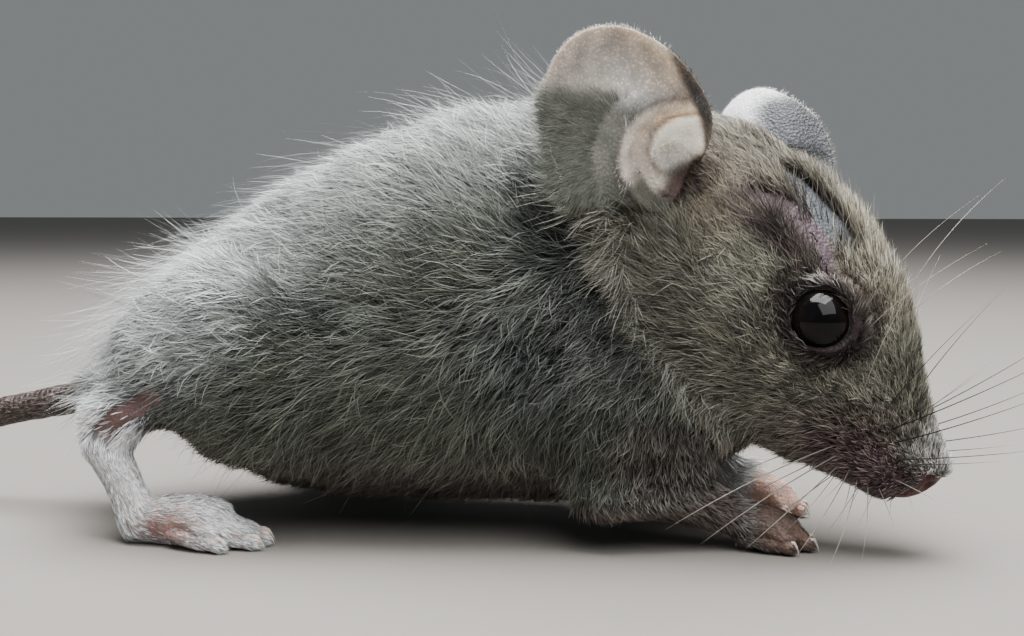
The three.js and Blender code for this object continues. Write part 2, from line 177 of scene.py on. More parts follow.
def ear_frame(side):
    """Where an ear stands: X across to its front edge, Z up to its tip, the hollow facing -Y."""
    place, turn, lean, cant = EARS[side]
    return (
        Matrix.Translation(Vector(place) + MODEL_SHIFT)
        @ Matrix.Rotation(math.radians(turn), 4, "Z")
        @ Matrix.Rotation(math.radians(lean), 4, "Y")
        @ Matrix.Rotation(math.radians(cant), 4, "X")
    )


def eye_centre(side):
    """The middle of an eyeball."""
    return HEAD_FRAME @ Vector((EYE_AT.x, SIDES[side] * EYE_AT.y, EYE_AT.z))


def eye_frame(side):
    """An eye's frame: Z out of the opening, X towards the nose."""
    facing = Vector((EYE_FACING.x, SIDES[side] * EYE_FACING.y, EYE_FACING.z))
    ahead = Vector((1, 0, 0))
    ahead = (ahead - facing * ahead.dot(facing)).normalized()
    up = facing.cross(ahead)
    axes = Matrix((ahead, up, facing)).transposed().to_4x4()
    turned = HEAD_FRAME.to_3x3().to_4x4() @ axes
    return Matrix.Translation(eye_centre(side)) @ turned


def toe_lines(side, foot):
    """Root, direction, length and radius of each toe of a foot."""
    leg = LEGS[side]
    hind = foot == "hindfoot"
    heading = leg["hind_heading" if hind else "fore_heading"]
    root = Vector(leg["ball" if hind else "palm"]) + MODEL_SHIFT
    root.z -= 0.25 if hind else 0.0
    ahead = Vector((math.cos(heading), math.sin(heading), 0))
    leftward = Vector((-math.sin(heading), math.cos(heading), 0))
    found = []
    for place, splay, length, back in HIND_TOES if hind else FORE_TOES:
        angle = heading - SIDES[side] * math.radians(splay)
        start = root - leftward * SIDES[side] * place - ahead * back
        radius = HIND_TOE_RADIUS if hind else FORE_TOE_RADIUS
        found.append((start, Vector((math.cos(angle), math.sin(angle), 0)), length, radius))
    return found


# ---- Lines that the coat follows from root to tip, and that the skin is unwrapped round -------------
def growth_lines():
    """One line for each limb, as points in the direction in which the hair lies."""
    snout = [HEAD_FRAME @ Vector(p) for p in ((16.4, 0, -2.4), (11, 0, -1.9), (5, 0, -1.6), (-2, 0, -1.6))]
    lines = {"body": snout + shifted((4.5, -0.4, 11.5), (-4, 0, 10.6), (-14, 0, 9.0), (-24, 0, 6.6))}
    lines["tail"] = shifted(*TAIL_LINE)
    for side, leg in LEGS.items():
        hind = shifted(leg["hip"], leg["knee"], leg["hock"], leg["heel"], leg["ball"])
        hind.append(hind[-1] + Vector((3.2, 0, -1.0)))
        fore = shifted(leg["shoulder"], leg["elbow"], leg["wrist"], leg["palm"])
        fore.append(fore[-1] + Vector((2.8, 0, -0.8)))
        ear = [ear_frame(side) @ Vector((0.6, 0, z)) for z in (-5.5, 5.5)]
        lines.update({f"hind_{side}": hind, f"fore_{side}": fore, f"ear_{side}": ear})
    return {name: np.array(points) for name, points in lines.items()}


LINES = growth_lines()
GROUPS = list(LINES)


def group_of(node):
    """The growth line that a solid's skin belongs to."""
    if node.startswith("tail"):
        return "tail"
    side = node.rpartition("_")[2]
    if node.startswith(("shank", "hindfoot")):
        return f"hind_{side}"
    if node.startswith(("foreleg", "forepaw")):
        return f"fore_{side}"
    return f"ear_{side}" if node.startswith("ear") else "body"


def along_line(points, line):
    """How far along a line each point lies (0 to 1), the line's direction there, and its offset."""
    lengths = np.linalg.norm(np.diff(line, axis=0), axis=1)
    before = np.concatenate([[0], np.cumsum(lengths)])
    nearest = np.full(len(points), np.inf)
    station = np.zeros(len(points))
    direction = np.zeros_like(points)
    offset = np.zeros_like(points)
    for start, end, length, run in zip(line[:-1], line[1:], lengths, before):
        axis = (end - start) / length
        share = np.clip((points - start) @ axis, 0, length)
        away = points - start - share[:, None] * axis
        distance = np.linalg.norm(away, axis=1)
        closer = distance < nearest
        nearest[closer] = distance[closer]
        station[closer] = (run + share[closer]) / before[-1]
        direction[closer] = axis
        offset[closer] = away[closer]
    return station, direction, offset


def unwrapped(points, group):
    """The skin laid flat: along each limb's line and round it, every limb in its own rectangle."""
    place = np.zeros((len(points), 2))
    for index, name in enumerate(GROUPS):
        mine = group == index
        if not mine.any():
            continue
        station, direction, offset = along_line(points[mine], LINES[name])
        up = np.array([0.0, 0.0, 1.0]) + np.array([0.3, 0.0, 0.0]) * (name != "body")
        upward = unit(up - direction * (direction @ up)[:, None])
        sideways = np.cross(direction, upward)
        angle = np.arctan2((offset * sideways).sum(axis=1), (offset * upward).sum(axis=1))
        turn = angle / (2 * math.pi) + 0.5
        if name == "body":
            place[mine] = np.column_stack([0.01 + 0.98 * station, 0.32 + 0.67 * turn])
        else:
            width = 1 / (len(GROUPS) - 1)
            place[mine] = np.column_stack([(index - 1 + 0.04 + 0.92 * station) * width, 0.01 + 0.28 * turn])
    return place


# ---- Meshes as arrays -------------------------------------------------------------------------------
def vertex_array(mesh):
    """Every vertex of a mesh as rows of x, y and z."""
    points = np.empty(len(mesh.vertices) * 3)
    mesh.vertices.foreach_get("co", points)
    return points.reshape(-1, 3)


def triangle_array(mesh):
    """Every triangle of a mesh as rows of three vertex numbers."""
    mesh.calc_loop_triangles()
    corners = np.empty(len(mesh.loop_triangles) * 3, dtype=np.int32)
    mesh.loop_triangles.foreach_get("vertices", corners)
    return corners.reshape(-1, 3)


def neighbour_table(mesh):
    """For each vertex the vertices that share an edge with it, its own number filling the gaps."""
    ends = np.empty(len(mesh.edges) * 2, dtype=np.int32)
    mesh.edges.foreach_get("vertices", ends)
    ends = ends.reshape(-1, 2)
    here = np.concatenate([ends[:, 0], ends[:, 1]])
    there = np.concatenate([ends[:, 1], ends[:, 0]])
    order = np.argsort(here, kind="stable")
    here, there = here[order], there[order]
    first = np.searchsorted(here, np.arange(len(mesh.vertices)))
    rank = np.arange(len(here)) - first[here]
    table = np.repeat(np.arange(len(mesh.vertices))[:, None], NEIGHBOURS, axis=1)
    kept = rank < NEIGHBOURS
    table[here[kept], rank[kept]] = there[kept]
    return table


def relaxed(values, table, rounds):
    """Values evened out over the surface, each vertex for its own number of rounds."""
    values = values.copy()
    rounds = np.broadcast_to(rounds, len(values))
    for turn in range(int(rounds.max())):
        busy = np.flatnonzero(rounds > turn)
        values[busy] = 0.4 * values[busy] + 0.6 * values[table[busy]].mean(axis=1)
    return values


def vertex_normals(points, triangles):
    """Outward directions at the vertices, weighted by the area round them."""
    a, b, c = (points[triangles[:, i]] for i in range(3))
    facing = np.cross(b - a, c - a)
    total = np.zeros_like(points)
    for corner in range(3):
        for axis in range(3):
            total[:, axis] += np.bincount(triangles[:, corner], facing[:, axis], len(points))
    return unit(total)


def write_attribute(mesh, name, values, kind):
    """Stores a number, direction or colour for each vertex."""
    layer = mesh.attributes.new(name, kind, "POINT")
    field = {"FLOAT": "value", "FLOAT_VECTOR": "vector", "FLOAT_COLOR": "color"}[kind]
    if kind == "FLOAT_COLOR":
        values = np.column_stack([values, np.ones(len(values))])
    layer.data.foreach_set(field, np.ascontiguousarray(values, dtype=np.float32).ravel())


def read_attribute(mesh, name, width):
    """Reads what write_attribute stored."""
    layer = mesh.attributes[name]
    field = {1: "value", 3: "vector", 4: "color"}[width]
    values = np.empty(len(mesh.vertices) * width, dtype=np.float32)
    layer.data.foreach_get(field, values)
    return values.reshape(-1, width) if width > 1 else values


def show(name, mesh, slot, *nodes):
    """Puts a finished mesh, still in millimetres, in the scene as a piece of the model."""
    mesh.transform(Matrix.Scale(MM, 4))
    piece = bpy.data.objects.new(name, mesh)
    bpy.context.scene.collection.objects.link(piece)
    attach(piece, "root")
    if nodes:
        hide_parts(*nodes)
    return piece


def with_modifier(mesh, kind, **settings):
    """A mesh with one modifier applied to it."""
    carrier = bpy.data.objects.new("carrier", mesh)
    bpy.context.scene.collection.objects.link(carrier)
    modifier = carrier.modifiers.new("change", kind)
    for name, value in settings.items():
        setattr(modifier, name, value)
    seen = carrier.evaluated_get(bpy.context.evaluated_depsgraph_get())
    changed = bpy.data.meshes.new_from_object(seen)
    bpy.data.objects.remove(carrier)
    return changed


# ---- Materials --------------------------------------------------------------------------------------
def add_node(tree, kind, inputs=None, **settings):
    """Adds one node: settings are its own, inputs are values or the sockets that feed it."""
    node = tree.nodes.new(kind)
    for name, value in settings.items():
        if name == "stops":
            for _ in value[2:]:
                node.color_ramp.elements.new(0.5)
            for stop, (position, colour) in zip(node.color_ramp.elements, value):
                stop.position = position
                stop.color = (*colour, 1)
        else:
            setattr(node, name, value)
    for name, value in (inputs or {}).items():
        if isinstance(value, bpy.types.NodeSocket):
            tree.links.new(value, node.inputs[name])
        else:
            node.inputs[name].default_value = value
    return node


def new_material(name):
    """An empty material, its node tree and its output."""
    material = bpy.data.materials.new(name)
    material.use_nodes = True
    tree = material.node_tree
    tree.nodes.clear()
    return material, tree, add_node(tree, "ShaderNodeOutputMaterial")


def mouse_skin():
    """Thin living skin: matt, faintly see-through, with fine creases and hair follicles.

    Its colour is the marking painted on the vertices, so it is dark slate under the coat, where it is darkened as
    painted shade of the hairs, pink on the feet, and warm brown on the ears, where light passes through.
    """
    material, tree, output = new_material("mouse_skin")
    place = add_node(tree, "ShaderNodeTexCoord").outputs["Object"]
    marking = add_node(tree, "ShaderNodeAttribute", attribute_name="marking").outputs["Color"]
    tail = add_node(tree, "ShaderNodeAttribute", attribute_name="ring").outputs["Fac"]
    tail_share = add_node(tree, "ShaderNodeAttribute", attribute_name="ringed").outputs["Fac"]
    # Blotches about 0.8 mm across, and follicles about 0.15 mm apart.
    blotch = add_node(tree, "ShaderNodeTexNoise", {"Vector": place, "Scale": 1200.0, "Detail": 5.0})
    pores = add_node(tree, "ShaderNodeTexVoronoi", {"Vector": place, "Scale": 6500.0})
    tone = add_node(tree, "ShaderNodeValToRGB", {"Fac": blotch.outputs["Fac"]},
                    stops=((0.3, (0.72, 0.70, 0.70)), (0.75, (1.18, 1.14, 1.1))))
    colour = add_node(tree, "ShaderNodeMix", {0: 1.0, 6: marking, 7: tone.outputs["Color"]},
                      data_type="RGBA", blend_type="MULTIPLY")
    speck = add_node(tree, "ShaderNodeValToRGB", {"Fac": pores.outputs["Distance"]},
                     stops=((0.1, (1.35, 1.35, 1.35)), (0.45, (0.94, 0.94, 0.94))))
    colour = add_node(tree, "ShaderNodeMix", {0: 1.0, 6: colour.outputs[2], 7: speck.outputs["Color"]},
                      data_type="RGBA", blend_type="MULTIPLY")
    # Light comes through the ears, which are thin.
    thin = add_node(tree, "ShaderNodeAttribute", attribute_name="thin").outputs["Fac"]
    through = add_node(tree, "ShaderNodeMath", {0: thin, 1: 0.6, 2: 0.2}, operation="MULTIPLY_ADD")
    # Rings of scales round the tail, about 0.3 mm apart: the attribute counts them.
    ring = add_node(tree, "ShaderNodeMath", {0: tail, 1: 2 * math.pi}, operation="MULTIPLY")
    wave = add_node(tree, "ShaderNodeMath", {0: ring.outputs[0]}, operation="SINE")
    ridge = add_node(tree, "ShaderNodeMath", {0: wave.outputs[0], 1: tail_share}, operation="MULTIPLY")
    relief = add_node(tree, "ShaderNodeMath", {0: ridge.outputs[0], 1: 0.6, 2: pores.outputs["Distance"]},
                      operation="MULTIPLY_ADD")
    smooth = add_node(tree, "ShaderNodeMath", {0: thin, 1: -0.22, 2: 0.35}, operation="MULTIPLY_ADD")
    grain = add_node(tree, "ShaderNodeBump",
                     {"Height": relief.outputs[0], "Distance": 0.00006, "Strength": 0.7})
    creased = add_node(tree, "ShaderNodeBump",
                       {"Height": blotch.outputs["Fac"], "Distance": 0.00016, "Strength": smooth.outputs[0],
                        "Normal": grain.outputs["Normal"]})
    shader = add_node(tree, "ShaderNodeBsdfPrincipled",
                      {"Base Color": colour.outputs[2], "Roughness": 0.52, "IOR": 1.4,
                       "Subsurface Weight": through.outputs[0], "Subsurface Radius": (0.0004, 0.00036, 0.00032),
                       "Subsurface Scale": 1.0, "Normal": creased.outputs["Normal"]})
    tree.links.new(shader.outputs[0], output.inputs[0])
    return material


def mouse_hair(name, gloss):
    """Agouti mouse hair: keratin, satin along its length, slate at the root and banded to the tip."""
    material, tree, output = new_material(name)
    place = add_node(tree, "ShaderNodeTexCoord").outputs["Object"]
    marking = add_node(tree, "ShaderNodeAttribute", attribute_name="marking").outputs["Color"]
    along = add_node(tree, "ShaderNodeAttribute", attribute_name="along").outputs["Fac"]
    # Slate underfur at the root, the marking's own colour from a third up, and a light worn tip.
    band = add_node(tree, "ShaderNodeValToRGB", {"Fac": along},
                    stops=((0.0, (0.28, 0.29, 0.31)), (0.35, (0.5, 0.5, 0.51)), (0.65, (1.0, 1.0, 1.0)),
                           (0.95, (1.4, 1.38, 1.34))))
    banded = add_node(tree, "ShaderNodeMix", {0: 1.0, 6: marking, 7: band.outputs["Color"]},
                      data_type="RGBA", blend_type="MULTIPLY")
    # Scales on a hair are far finer than a pixel, so the ticking is drawn 0.25 mm long instead.
    tick = add_node(tree, "ShaderNodeTexNoise", {"Vector": place, "Scale": 4000.0, "Detail": 2.0})
    tone = add_node(tree, "ShaderNodeValToRGB", {"Fac": tick.outputs["Fac"]},
                    stops=((0.35, (0.85, 0.85, 0.86)), (0.7, (1.12, 1.12, 1.1))))
    colour = add_node(tree, "ShaderNodeMix", {0: 1.0, 6: banded.outputs[2], 7: tone.outputs["Color"]},
                      data_type="RGBA", blend_type="MULTIPLY")
    shader = add_node(tree, "ShaderNodeBsdfPrincipled",
                      {"Base Color": colour.outputs[2], "Roughness": gloss, "IOR": 1.55, "Specular IOR Level": 0.3})
    tree.links.new(shader.outputs[0], output.inputs[0])
    return material


def eye_wet():
    """A mouse's eye: near-black iris under a clear wet cornea, so it mirrors like polished jet."""
    material, tree, output = new_material("wet_eye")
    place = add_node(tree, "ShaderNodeTexCoord").outputs["Object"]
    cloud = add_node(tree, "ShaderNodeTexNoise", {"Vector": place, "Scale": 900.0, "Detail": 3.0})
    tone = add_node(tree, "ShaderNodeValToRGB", {"Fac": cloud.outputs["Fac"]},
                    stops=((0.35, linear("#050506")), (0.7, linear("#140d0c"))))
    shader = add_node(tree, "ShaderNodeBsdfPrincipled",
                      {"Base Color": tone.outputs["Color"], "Roughness": 0.05, "IOR": 1.376, "Specular IOR Level": 0.25})
    tree.links.new(shader.outputs[0], output.inputs[0])
    return material


def claw_horn():
    """Translucent horn: pale pink at the root, ivory at the tip, finely streaked and glossy."""
    material, tree, output = new_material("claw_horn")
    place = add_node(tree, "ShaderNodeTexCoord").outputs["Object"]
    streak = add_node(tree, "ShaderNodeTexNoise", {"Vector": place, "Scale": 5000.0, "Detail": 3.0})
    tone = add_node(tree, "ShaderNodeValToRGB", {"Fac": streak.outputs["Fac"]},
                    stops=((0.3, linear("#a58d84")), (0.7, linear("#d9cdc2"))))
    shader = add_node(tree, "ShaderNodeBsdfPrincipled",
                      {"Base Color": tone.outputs["Color"], "Roughness": 0.3, "IOR": 1.54,
                       "Subsurface Weight": 0.3, "Subsurface Radius": (0.0004, 0.0003, 0.0002),
                       "Subsurface Scale": 1.0})
    tree.links.new(shader.outputs[0], output.inputs[0])
    return material


# ---- Skin -------------------------------------------------------------------------------------------
def flesh_nodes():
    """The solids that the skin replaces."""
    return [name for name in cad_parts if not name.startswith("eye")]


def swollen(name):
    """A copy of one solid in millimetres, without its claws and swollen to meet its neighbours."""
    piece = bmesh.new()
    piece.from_mesh(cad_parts[name].data)
    bmesh.ops.remove_doubles(piece, verts=piece.verts, dist=1e-7)
    bmesh.ops.scale(piece, vec=(1 / MM,) * 3, verts=piece.verts)
    piece.normal_update()
    foot, _, side = name.rpartition("_")
    if foot in ("hindfoot", "forepaw"):
        for root, ahead, length, radius in toe_lines(side, foot):
            for vert in piece.verts:
                past = (vert.co - root).dot(ahead) - length
                across = (vert.co - root - ahead * (past + length)).xy.length
                if past > 0 and across < radius:
                    vert.co -= ahead * past
    for vert in piece.verts:
        vert.co += vert.normal * swell_at(foot, vert.co.z)
    return piece


def swell_at(kind, height):
    """How far a solid is swollen: in full, but hardly at all at the toes."""
    return SWELL * (0.15 + 0.85 * float(ease(height, 0.9, 2.0))) if kind in ("hindfoot", "forepaw") else SWELL


def flesh():
    """All flesh solids but the ears made one closed surface of even mesh."""
    whole = bmesh.new()
    for name in flesh_nodes():
        if name.startswith("ear"):
            continue
        piece = swollen(name)
        held = bpy.data.meshes.new("held")
        piece.to_mesh(held)
        whole.from_mesh(held)
    for side in SIDES:
        bmesh.ops.create_uvsphere(whole, u_segments=32, v_segments=16, radius=EYE_RADIUS - 0.1,
                                  matrix=Matrix.Translation(eye_centre(side)))
    joined = bpy.data.meshes.new("flesh")
    whole.to_mesh(joined)
    return largest_shell(with_modifier(joined, "REMESH", mode="VOXEL", voxel_size=VOXEL, adaptivity=0.0))


def largest_shell(mesh):
    """The mesh without the small shells shut inside it."""
    table = neighbour_table(mesh)
    label = np.arange(len(table))
    while True:
        lowest = label[table].min(axis=1)
        lowest = lowest[lowest]
        if (lowest == label).all():
            break
        label = lowest
    names, counts = np.unique(label, return_counts=True)
    kept = names[counts.argmax()]
    work = bmesh.new()
    work.from_mesh(mesh)
    work.verts.ensure_lookup_table()
    gone = [work.verts[i] for i in np.flatnonzero(label != kept)]
    bmesh.ops.delete(work, geom=gone, context="VERTS")
    work.to_mesh(mesh)
    return mesh


def solid_regions():
    """One search tree over the flesh solids in millimetres, with each triangle's region and group."""
    corners, faces, regions, groups = [], [], [], []
    names = list(REGIONS)
    for node in flesh_nodes():
        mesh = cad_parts[node].data
        first = len(corners)
        corners.extend((v / MM for v in vertex_array(mesh)))
        triangles = triangle_array(mesh) + first
        faces.extend(triangles.tolist())
        region = names.index(node.split("_")[0])
        regions += [region] * len(triangles)
        groups += [GROUPS.index(group_of(node))] * len(triangles)
    tree = BVHTree.FromPolygons([Vector(c) for c in corners], faces)
    return tree, np.array(regions), np.array(groups)


def dressed_as(points, table, tree, regions, groups):
    """Each vertex's share in the regions' values, evened out where regions meet, and its group."""
    face = np.array([tree.find_nearest(Vector(p))[2] for p in points])
    values = np.array(list(REGIONS.values()))[regions[face]]
    rounds = np.where(regions[face] == list(REGIONS).index("ear"), 2, 45)
    return relaxed(values, table, rounds), regions[face], groups[face]


def ear_depth(front, up, reach):
    """How deep the middle of an ear's wall lies behind the plane of its frame, and its root share.

    front and up run from -1 to 1 over the leaf, front towards the face, and reach is their length.
    """
    root = ease(-up, 0.1, 1)
    rolled = ease(front, 0.2, 1)
    cup = 1.3 * (1 - reach**2) - 0.9 * rolled**2 - 0.35 * ease(front, 0.72, 0.95)
    set_in = 1.0 * root + 1.7 * ease(reach, 0.82, 1.0) * ease(-up, 0.3, 0.8)
    # The concha is a bowl low in front, with a ridge round it and a smaller fold inside.
    along = (front * EAR_HALF_WIDTH - CONCHA_AT[0], up * EAR_HALF_HEIGHT - CONCHA_AT[1])
    away = np.hypot(*along)
    bowl = 1.25 * np.exp(-((away / 1.9) ** 2))
    behind = ease(along[1] - 1.2 * along[0], -2.2, 0.8)
    ridge = 0.5 * np.exp(-(((away - 2.7) / 0.42) ** 2)) * behind * ease(reach, 1.0, 0.85)
    fold = 0.34 * np.exp(-(((away - 1.35) / 0.26) ** 2)) * behind
    return cup + set_in + bowl - ridge - fold, root


def ear_leaf(side):
    """An ear: a thin cupped leaf with a rolled front edge, a deep concha and the folds beside it."""
    leaf = bmesh.new()
    bmesh.ops.create_uvsphere(leaf, u_segments=96, v_segments=54, radius=1)
    for vert in leaf.verts:
        across, up, through = vert.co
        depth, root = ear_depth(-SIDES[side] * across, up, math.hypot(across, up))
        wall = math.copysign(abs(through) ** 0.55, through) * EAR_THICKNESS / 2
        vert.co = (
            across * EAR_HALF_WIDTH * (1 - 0.34 * float(root)),
            wall * (1 + 0.8 * float(root)) + float(depth),
            up * EAR_HALF_HEIGHT,
        )
    bmesh.ops.transform(leaf, matrix=ear_frame(side), verts=leaf.verts)
    bmesh.ops.recalc_face_normals(leaf, faces=leaf.faces)
    return leaf


def on_ear(side, points):
    """Points in an ear's own measures: front, up and reach as in ear_depth, and depth behind its wall."""
    local = into(ear_frame(side), points)
    up = local[:, 2] / EAR_HALF_HEIGHT
    root = ease(-up, 0.1, 1)
    front = -SIDES[side] * local[:, 0] / (EAR_HALF_WIDTH * (1 - 0.34 * root))
    reach = np.hypot(front, up)
    return front, up, reach, local[:, 1] - ear_depth(front, up, reach)[0]


def make_room_for_ears(points):
    """Presses the head's skin back behind each ear's hollow, so that the ear is open to its root."""
    points = points.copy()
    for side in SIDES:
        _, _, reach, behind = on_ear(side, points)
        local = into(ear_frame(side), points)
        push = np.clip(0.45 - behind, 0, 3.5) * ease(reach, 1.08, 0.93) * (np.abs(behind) < 3.5)
        local[:, 1] += push
        points = placed(ear_frame(side), local)
    return points


def in_opening(side, local):
    """How far points in an eye's frame lie from the middle of the lids' opening: 1 at the lids' edge."""
    high = -SIDES[side]  # the way that is up in this eye's frame
    return np.hypot((local[:, 0] - OPENING_AT[0]) / (EYE_OPENING[0] + 0.12),
                    (local[:, 1] - high * OPENING_AT[1]) / (EYE_OPENING[1] + 0.12))


def lid_ring(side):
    """The upper and lower lid: one layer of skin with a rounded lip that hugs the eyeball."""
    ring = bmesh.new()
    long_half, high_half = EYE_OPENING
    high = -SIDES[side]
    rise = math.sqrt(EYE_RADIUS**2 - (long_half + 0.04) ** 2) + 0.02
    lip = Vector((long_half + LID_RADIUS, 0, rise))
    start, reach = math.atan2(lip.x, lip.z), lip.length
    # The section: a rounded lip, then a layer that thins as it runs back over the ball.
    section = [lip + Matrix.Rotation(-bend, 3, "Y") @ lip.normalized() * -LID_RADIUS
               for bend in np.linspace(0, math.pi, 7)]
    slopes = np.linspace(start, LID_BACK, 12)[1:]
    outside = [(reach + LID_RADIUS) * (1 - share) + (EYE_RADIUS + 0.06) * share for share in ease(slopes, start, LID_BACK)]
    for slope, away in zip(slopes, outside):
        section.append(Vector((math.sin(slope), 0, math.cos(slope))) * away)
    for slope in slopes[::-1]:
        section.append(Vector((math.sin(slope), 0, math.cos(slope))) * (reach - LID_RADIUS))
    corners = [ring.verts.new(place) for place in section]
    for corner, following in zip(corners, corners[1:] + corners[:1]):
        ring.edges.new((corner, following))
    bmesh.ops.spin(ring, geom=ring.verts[:] + ring.edges[:], cent=(0, 0, 0), axis=(0, 0, 1),
                   angle=2 * math.pi, steps=64, use_merge=True)
    bmesh.ops.remove_doubles(ring, verts=ring.verts, dist=1e-5)
    bmesh.ops.scale(ring, vec=(1, high_half / long_half, 1), verts=ring.verts)
    for vert in ring.verts:
        # The corner towards the nose is drawn out to a point and dips with the ball.
        corner = float(ease(vert.co.x, 0.9, 1.7))
        vert.co.x += 0.25 * corner
        vert.co.z -= 0.18 * corner
        vert.co.z += 0.12 * float(ease(high * vert.co.y, 0.4, 1.5))
    # The ring turns about the ball's middle to where the opening is, so that it still hugs the ball.
    turn = (Matrix.Rotation(math.asin(OPENING_AT[0] / rise), 4, "Y")
            @ Matrix.Rotation(-high * math.asin(OPENING_AT[1] / rise), 4, "X"))
    bmesh.ops.transform(ring, matrix=turn, verts=ring.verts)
    bmesh.ops.transform(ring, matrix=eye_frame(side), verts=ring.verts)
    bmesh.ops.recalc_face_normals(ring, faces=ring.faces)
    return ring


def toe_sleeve(side, foot):
    """The toes of one foot: knuckled fingers of skin that run back into the foot, as one mesh."""
    fingers = bmesh.new()
    for root, ahead, length, radius in toe_lines(side, foot):
        back = root - ahead * 1.3
        # Middle line and thickness: from inside the foot over the knuckle to the rounded tip.
        stations = (
            (back, 1.05, 0.55), (root - ahead * 0.5, 1.0, 0.8), (root, 0.9, 0.92),
            (root + ahead * 0.35 * length, 0.85, 0.9), (root + ahead * 0.6 * length, 0.72, 0.74),
            (root + ahead * 0.82 * length, 0.6, 0.8), (root + ahead * 0.95 * length, 0.5, 0.62),
        )
        line = [Vector((place.x, place.y, radius * (0.25 + height))) for place, height, _ in stations]
        rings = []
        for index, (place, (_, _, share)) in enumerate(zip(line, stations)):
            way = line[min(index + 1, len(line) - 1)] - line[max(index - 1, 0)]
            turn = way.to_track_quat("Z", "Y").to_matrix().to_4x4()
            made = bmesh.ops.create_circle(fingers, segments=12, radius=0.9 * radius * share,
                                           matrix=Matrix.Translation(place) @ turn)
            rings.append(made["verts"])
        loops = [{edge for vert in ring for edge in vert.link_edges} for ring in rings]
        for loop, following in zip(loops, loops[1:]):
            bmesh.ops.bridge_loops(fingers, edges=list(loop | following))
        fingers.faces.new(rings[0])
        fingers.faces.new(rings[-1])
    bmesh.ops.recalc_face_normals(fingers, faces=fingers.faces)
    return fingers


def sink_sockets(points):
    """Draws the skin in behind each eyeball, and up against it round the opening."""
    points = points.copy()
    for side in SIDES:
        local = into(eye_frame(side), points)
        distance = np.linalg.norm(local, axis=1)
        flat = in_opening(side, local)
        near = (distance < 3.2) & (local[:, 2] > -0.2)
        inside = near & (flat < 1)
        local[inside] *= (0.8 * EYE_RADIUS / distance[inside])[:, None]
        shelf = near & ~inside
        wanted = EYE_RADIUS + 0.02
        low = shelf & (distance < wanted)
        local[low] *= (wanted / distance[low])[:, None]
        points = placed(eye_frame(side), local)
    return points


def face_relief(points, normals):
    """Nostrils, the cleft of the lip, the line of the mouth, brow and cheek, as moves of the skin."""
    head = into(HEAD_FRAME, points)
    side = np.abs(head[:, 1])
    folded = np.column_stack([head[:, 0], side, head[:, 2]])
    push = np.zeros(len(points))
    push -= 0.42 * bump(folded, (15.1, 0.62, -2.1), (0.42, 0.22, 0.30))
    push -= 0.25 * bump(folded, (14.8, 0.95, -1.75), (0.40, 0.18, 0.22))
    push += 0.16 * bump(folded, (15.2, 0.55, -1.35), (0.5, 0.5, 0.3))
    cleft = ease(side, 0.22, 0.0) * ease(head[:, 0], 13.6, 14.4) * ease(head[:, 2], -1.9, -2.6)
    push -= 0.28 * cleft
    lip_height = -4.55 - 0.22 * (14.2 - head[:, 0])
    lip = np.exp(-(((head[:, 2] - lip_height) / 0.2) ** 2))
    push -= 0.35 * lip * ease(head[:, 0], 10.0, 11.4) * ease(head[:, 0], 14.9, 14.0)
    push += 0.2 * bump(folded, (7.2, 3.9, 2.7), (1.9, 1.2, 0.5))
    push += 0.22 * bump(folded, (6.9, 4.6, -1.6), (2.2, 1.2, 0.7))
    push -= 0.2 * bump(folded, (9.6, 3.4, 0.4), (1.0, 1.0, 0.8))
    return points + normals * push[:, None]


def finer(mesh, centre, radius):
    """The mesh with each of its faces near a point divided in four."""
    work = bmesh.new()
    work.from_mesh(mesh)
    close = [e for e in work.edges if all((v.co - centre).length < radius for v in e.verts)]
    bmesh.ops.subdivide_edges(work, edges=close, cuts=1, use_grid_fill=True)
    work.to_mesh(mesh)
    return mesh


def skin_mesh():
    """The whole skin, in millimetres."""
    tree, regions, groups = solid_regions()
    body = flesh()
    points = vertex_array(body)
    table = neighbour_table(body)
    values, region, _ = dressed_as(points, table, tree, regions, groups)
    head = into(HEAD_FRAME, points)
    near_nose = ease(head[:, 0], 11.0, 14.5)
    rounds = values[:, ROUNDS] * (1 - 0.65 * near_nose)
    points = relaxed(points, table, rounds)
    normals = relaxed(vertex_normals(points, triangle_array(body)), table, 8)
    names = list(REGIONS)
    is_foot = np.isin(region, (names.index("hindfoot"), names.index("forepaw")))
    swell = SWELL * np.where(is_foot, 0.15 + 0.85 * ease(points[:, 2], 0.9, 2.0), 1.0)
    sunk = relaxed(swell + values[:, DEPTH] * (1 - 0.75 * ease(head[:, 0], 12.0, 15.0)), table, 6)
    points = points - unit(normals) * sunk[:, None]
    points = relaxed(points, table, np.minimum(rounds, 6))
    points[:, 2] = np.maximum(points[:, 2], 0.0)
    points = make_room_for_ears(points)
    points = relaxed(points, table, 2)
    points = sink_sockets(points)
    body.vertices.foreach_set("co", points.ravel())
    nose = HEAD_FRAME @ Vector((14.6, 0, -2.6))
    body = finer(body, nose, 2.2)
    points = vertex_array(body)
    normals = vertex_normals(points, triangle_array(body))
    points = face_relief(points, normals)
    body.vertices.foreach_set("co", points.ravel())
    extras = bmesh.new()
    for side in SIDES:
        for made in (ear_leaf(side), lid_ring(side), toe_sleeve(side, "hindfoot"), toe_sleeve(side, "forepaw")):
            held = bpy.data.meshes.new("held")
            made.to_mesh(held)
            extras.from_mesh(held)
    extra_mesh = bpy.data.meshes.new("extras")
    extras.to_mesh(extra_mesh)
    tool = bpy.data.objects.new("extras", extra_mesh)
    bpy.context.scene.collection.objects.link(tool)
    whole = with_modifier(body, "BOOLEAN", operation="UNION", object=tool, solver="MANIFOLD")
    bpy.data.objects.remove(tool)
    if len(whole.vertices) < len(body.vertices):
        raise RuntimeError("the ears and lids did not join the skin")
    return paint_skin(whole, tree, regions, groups)
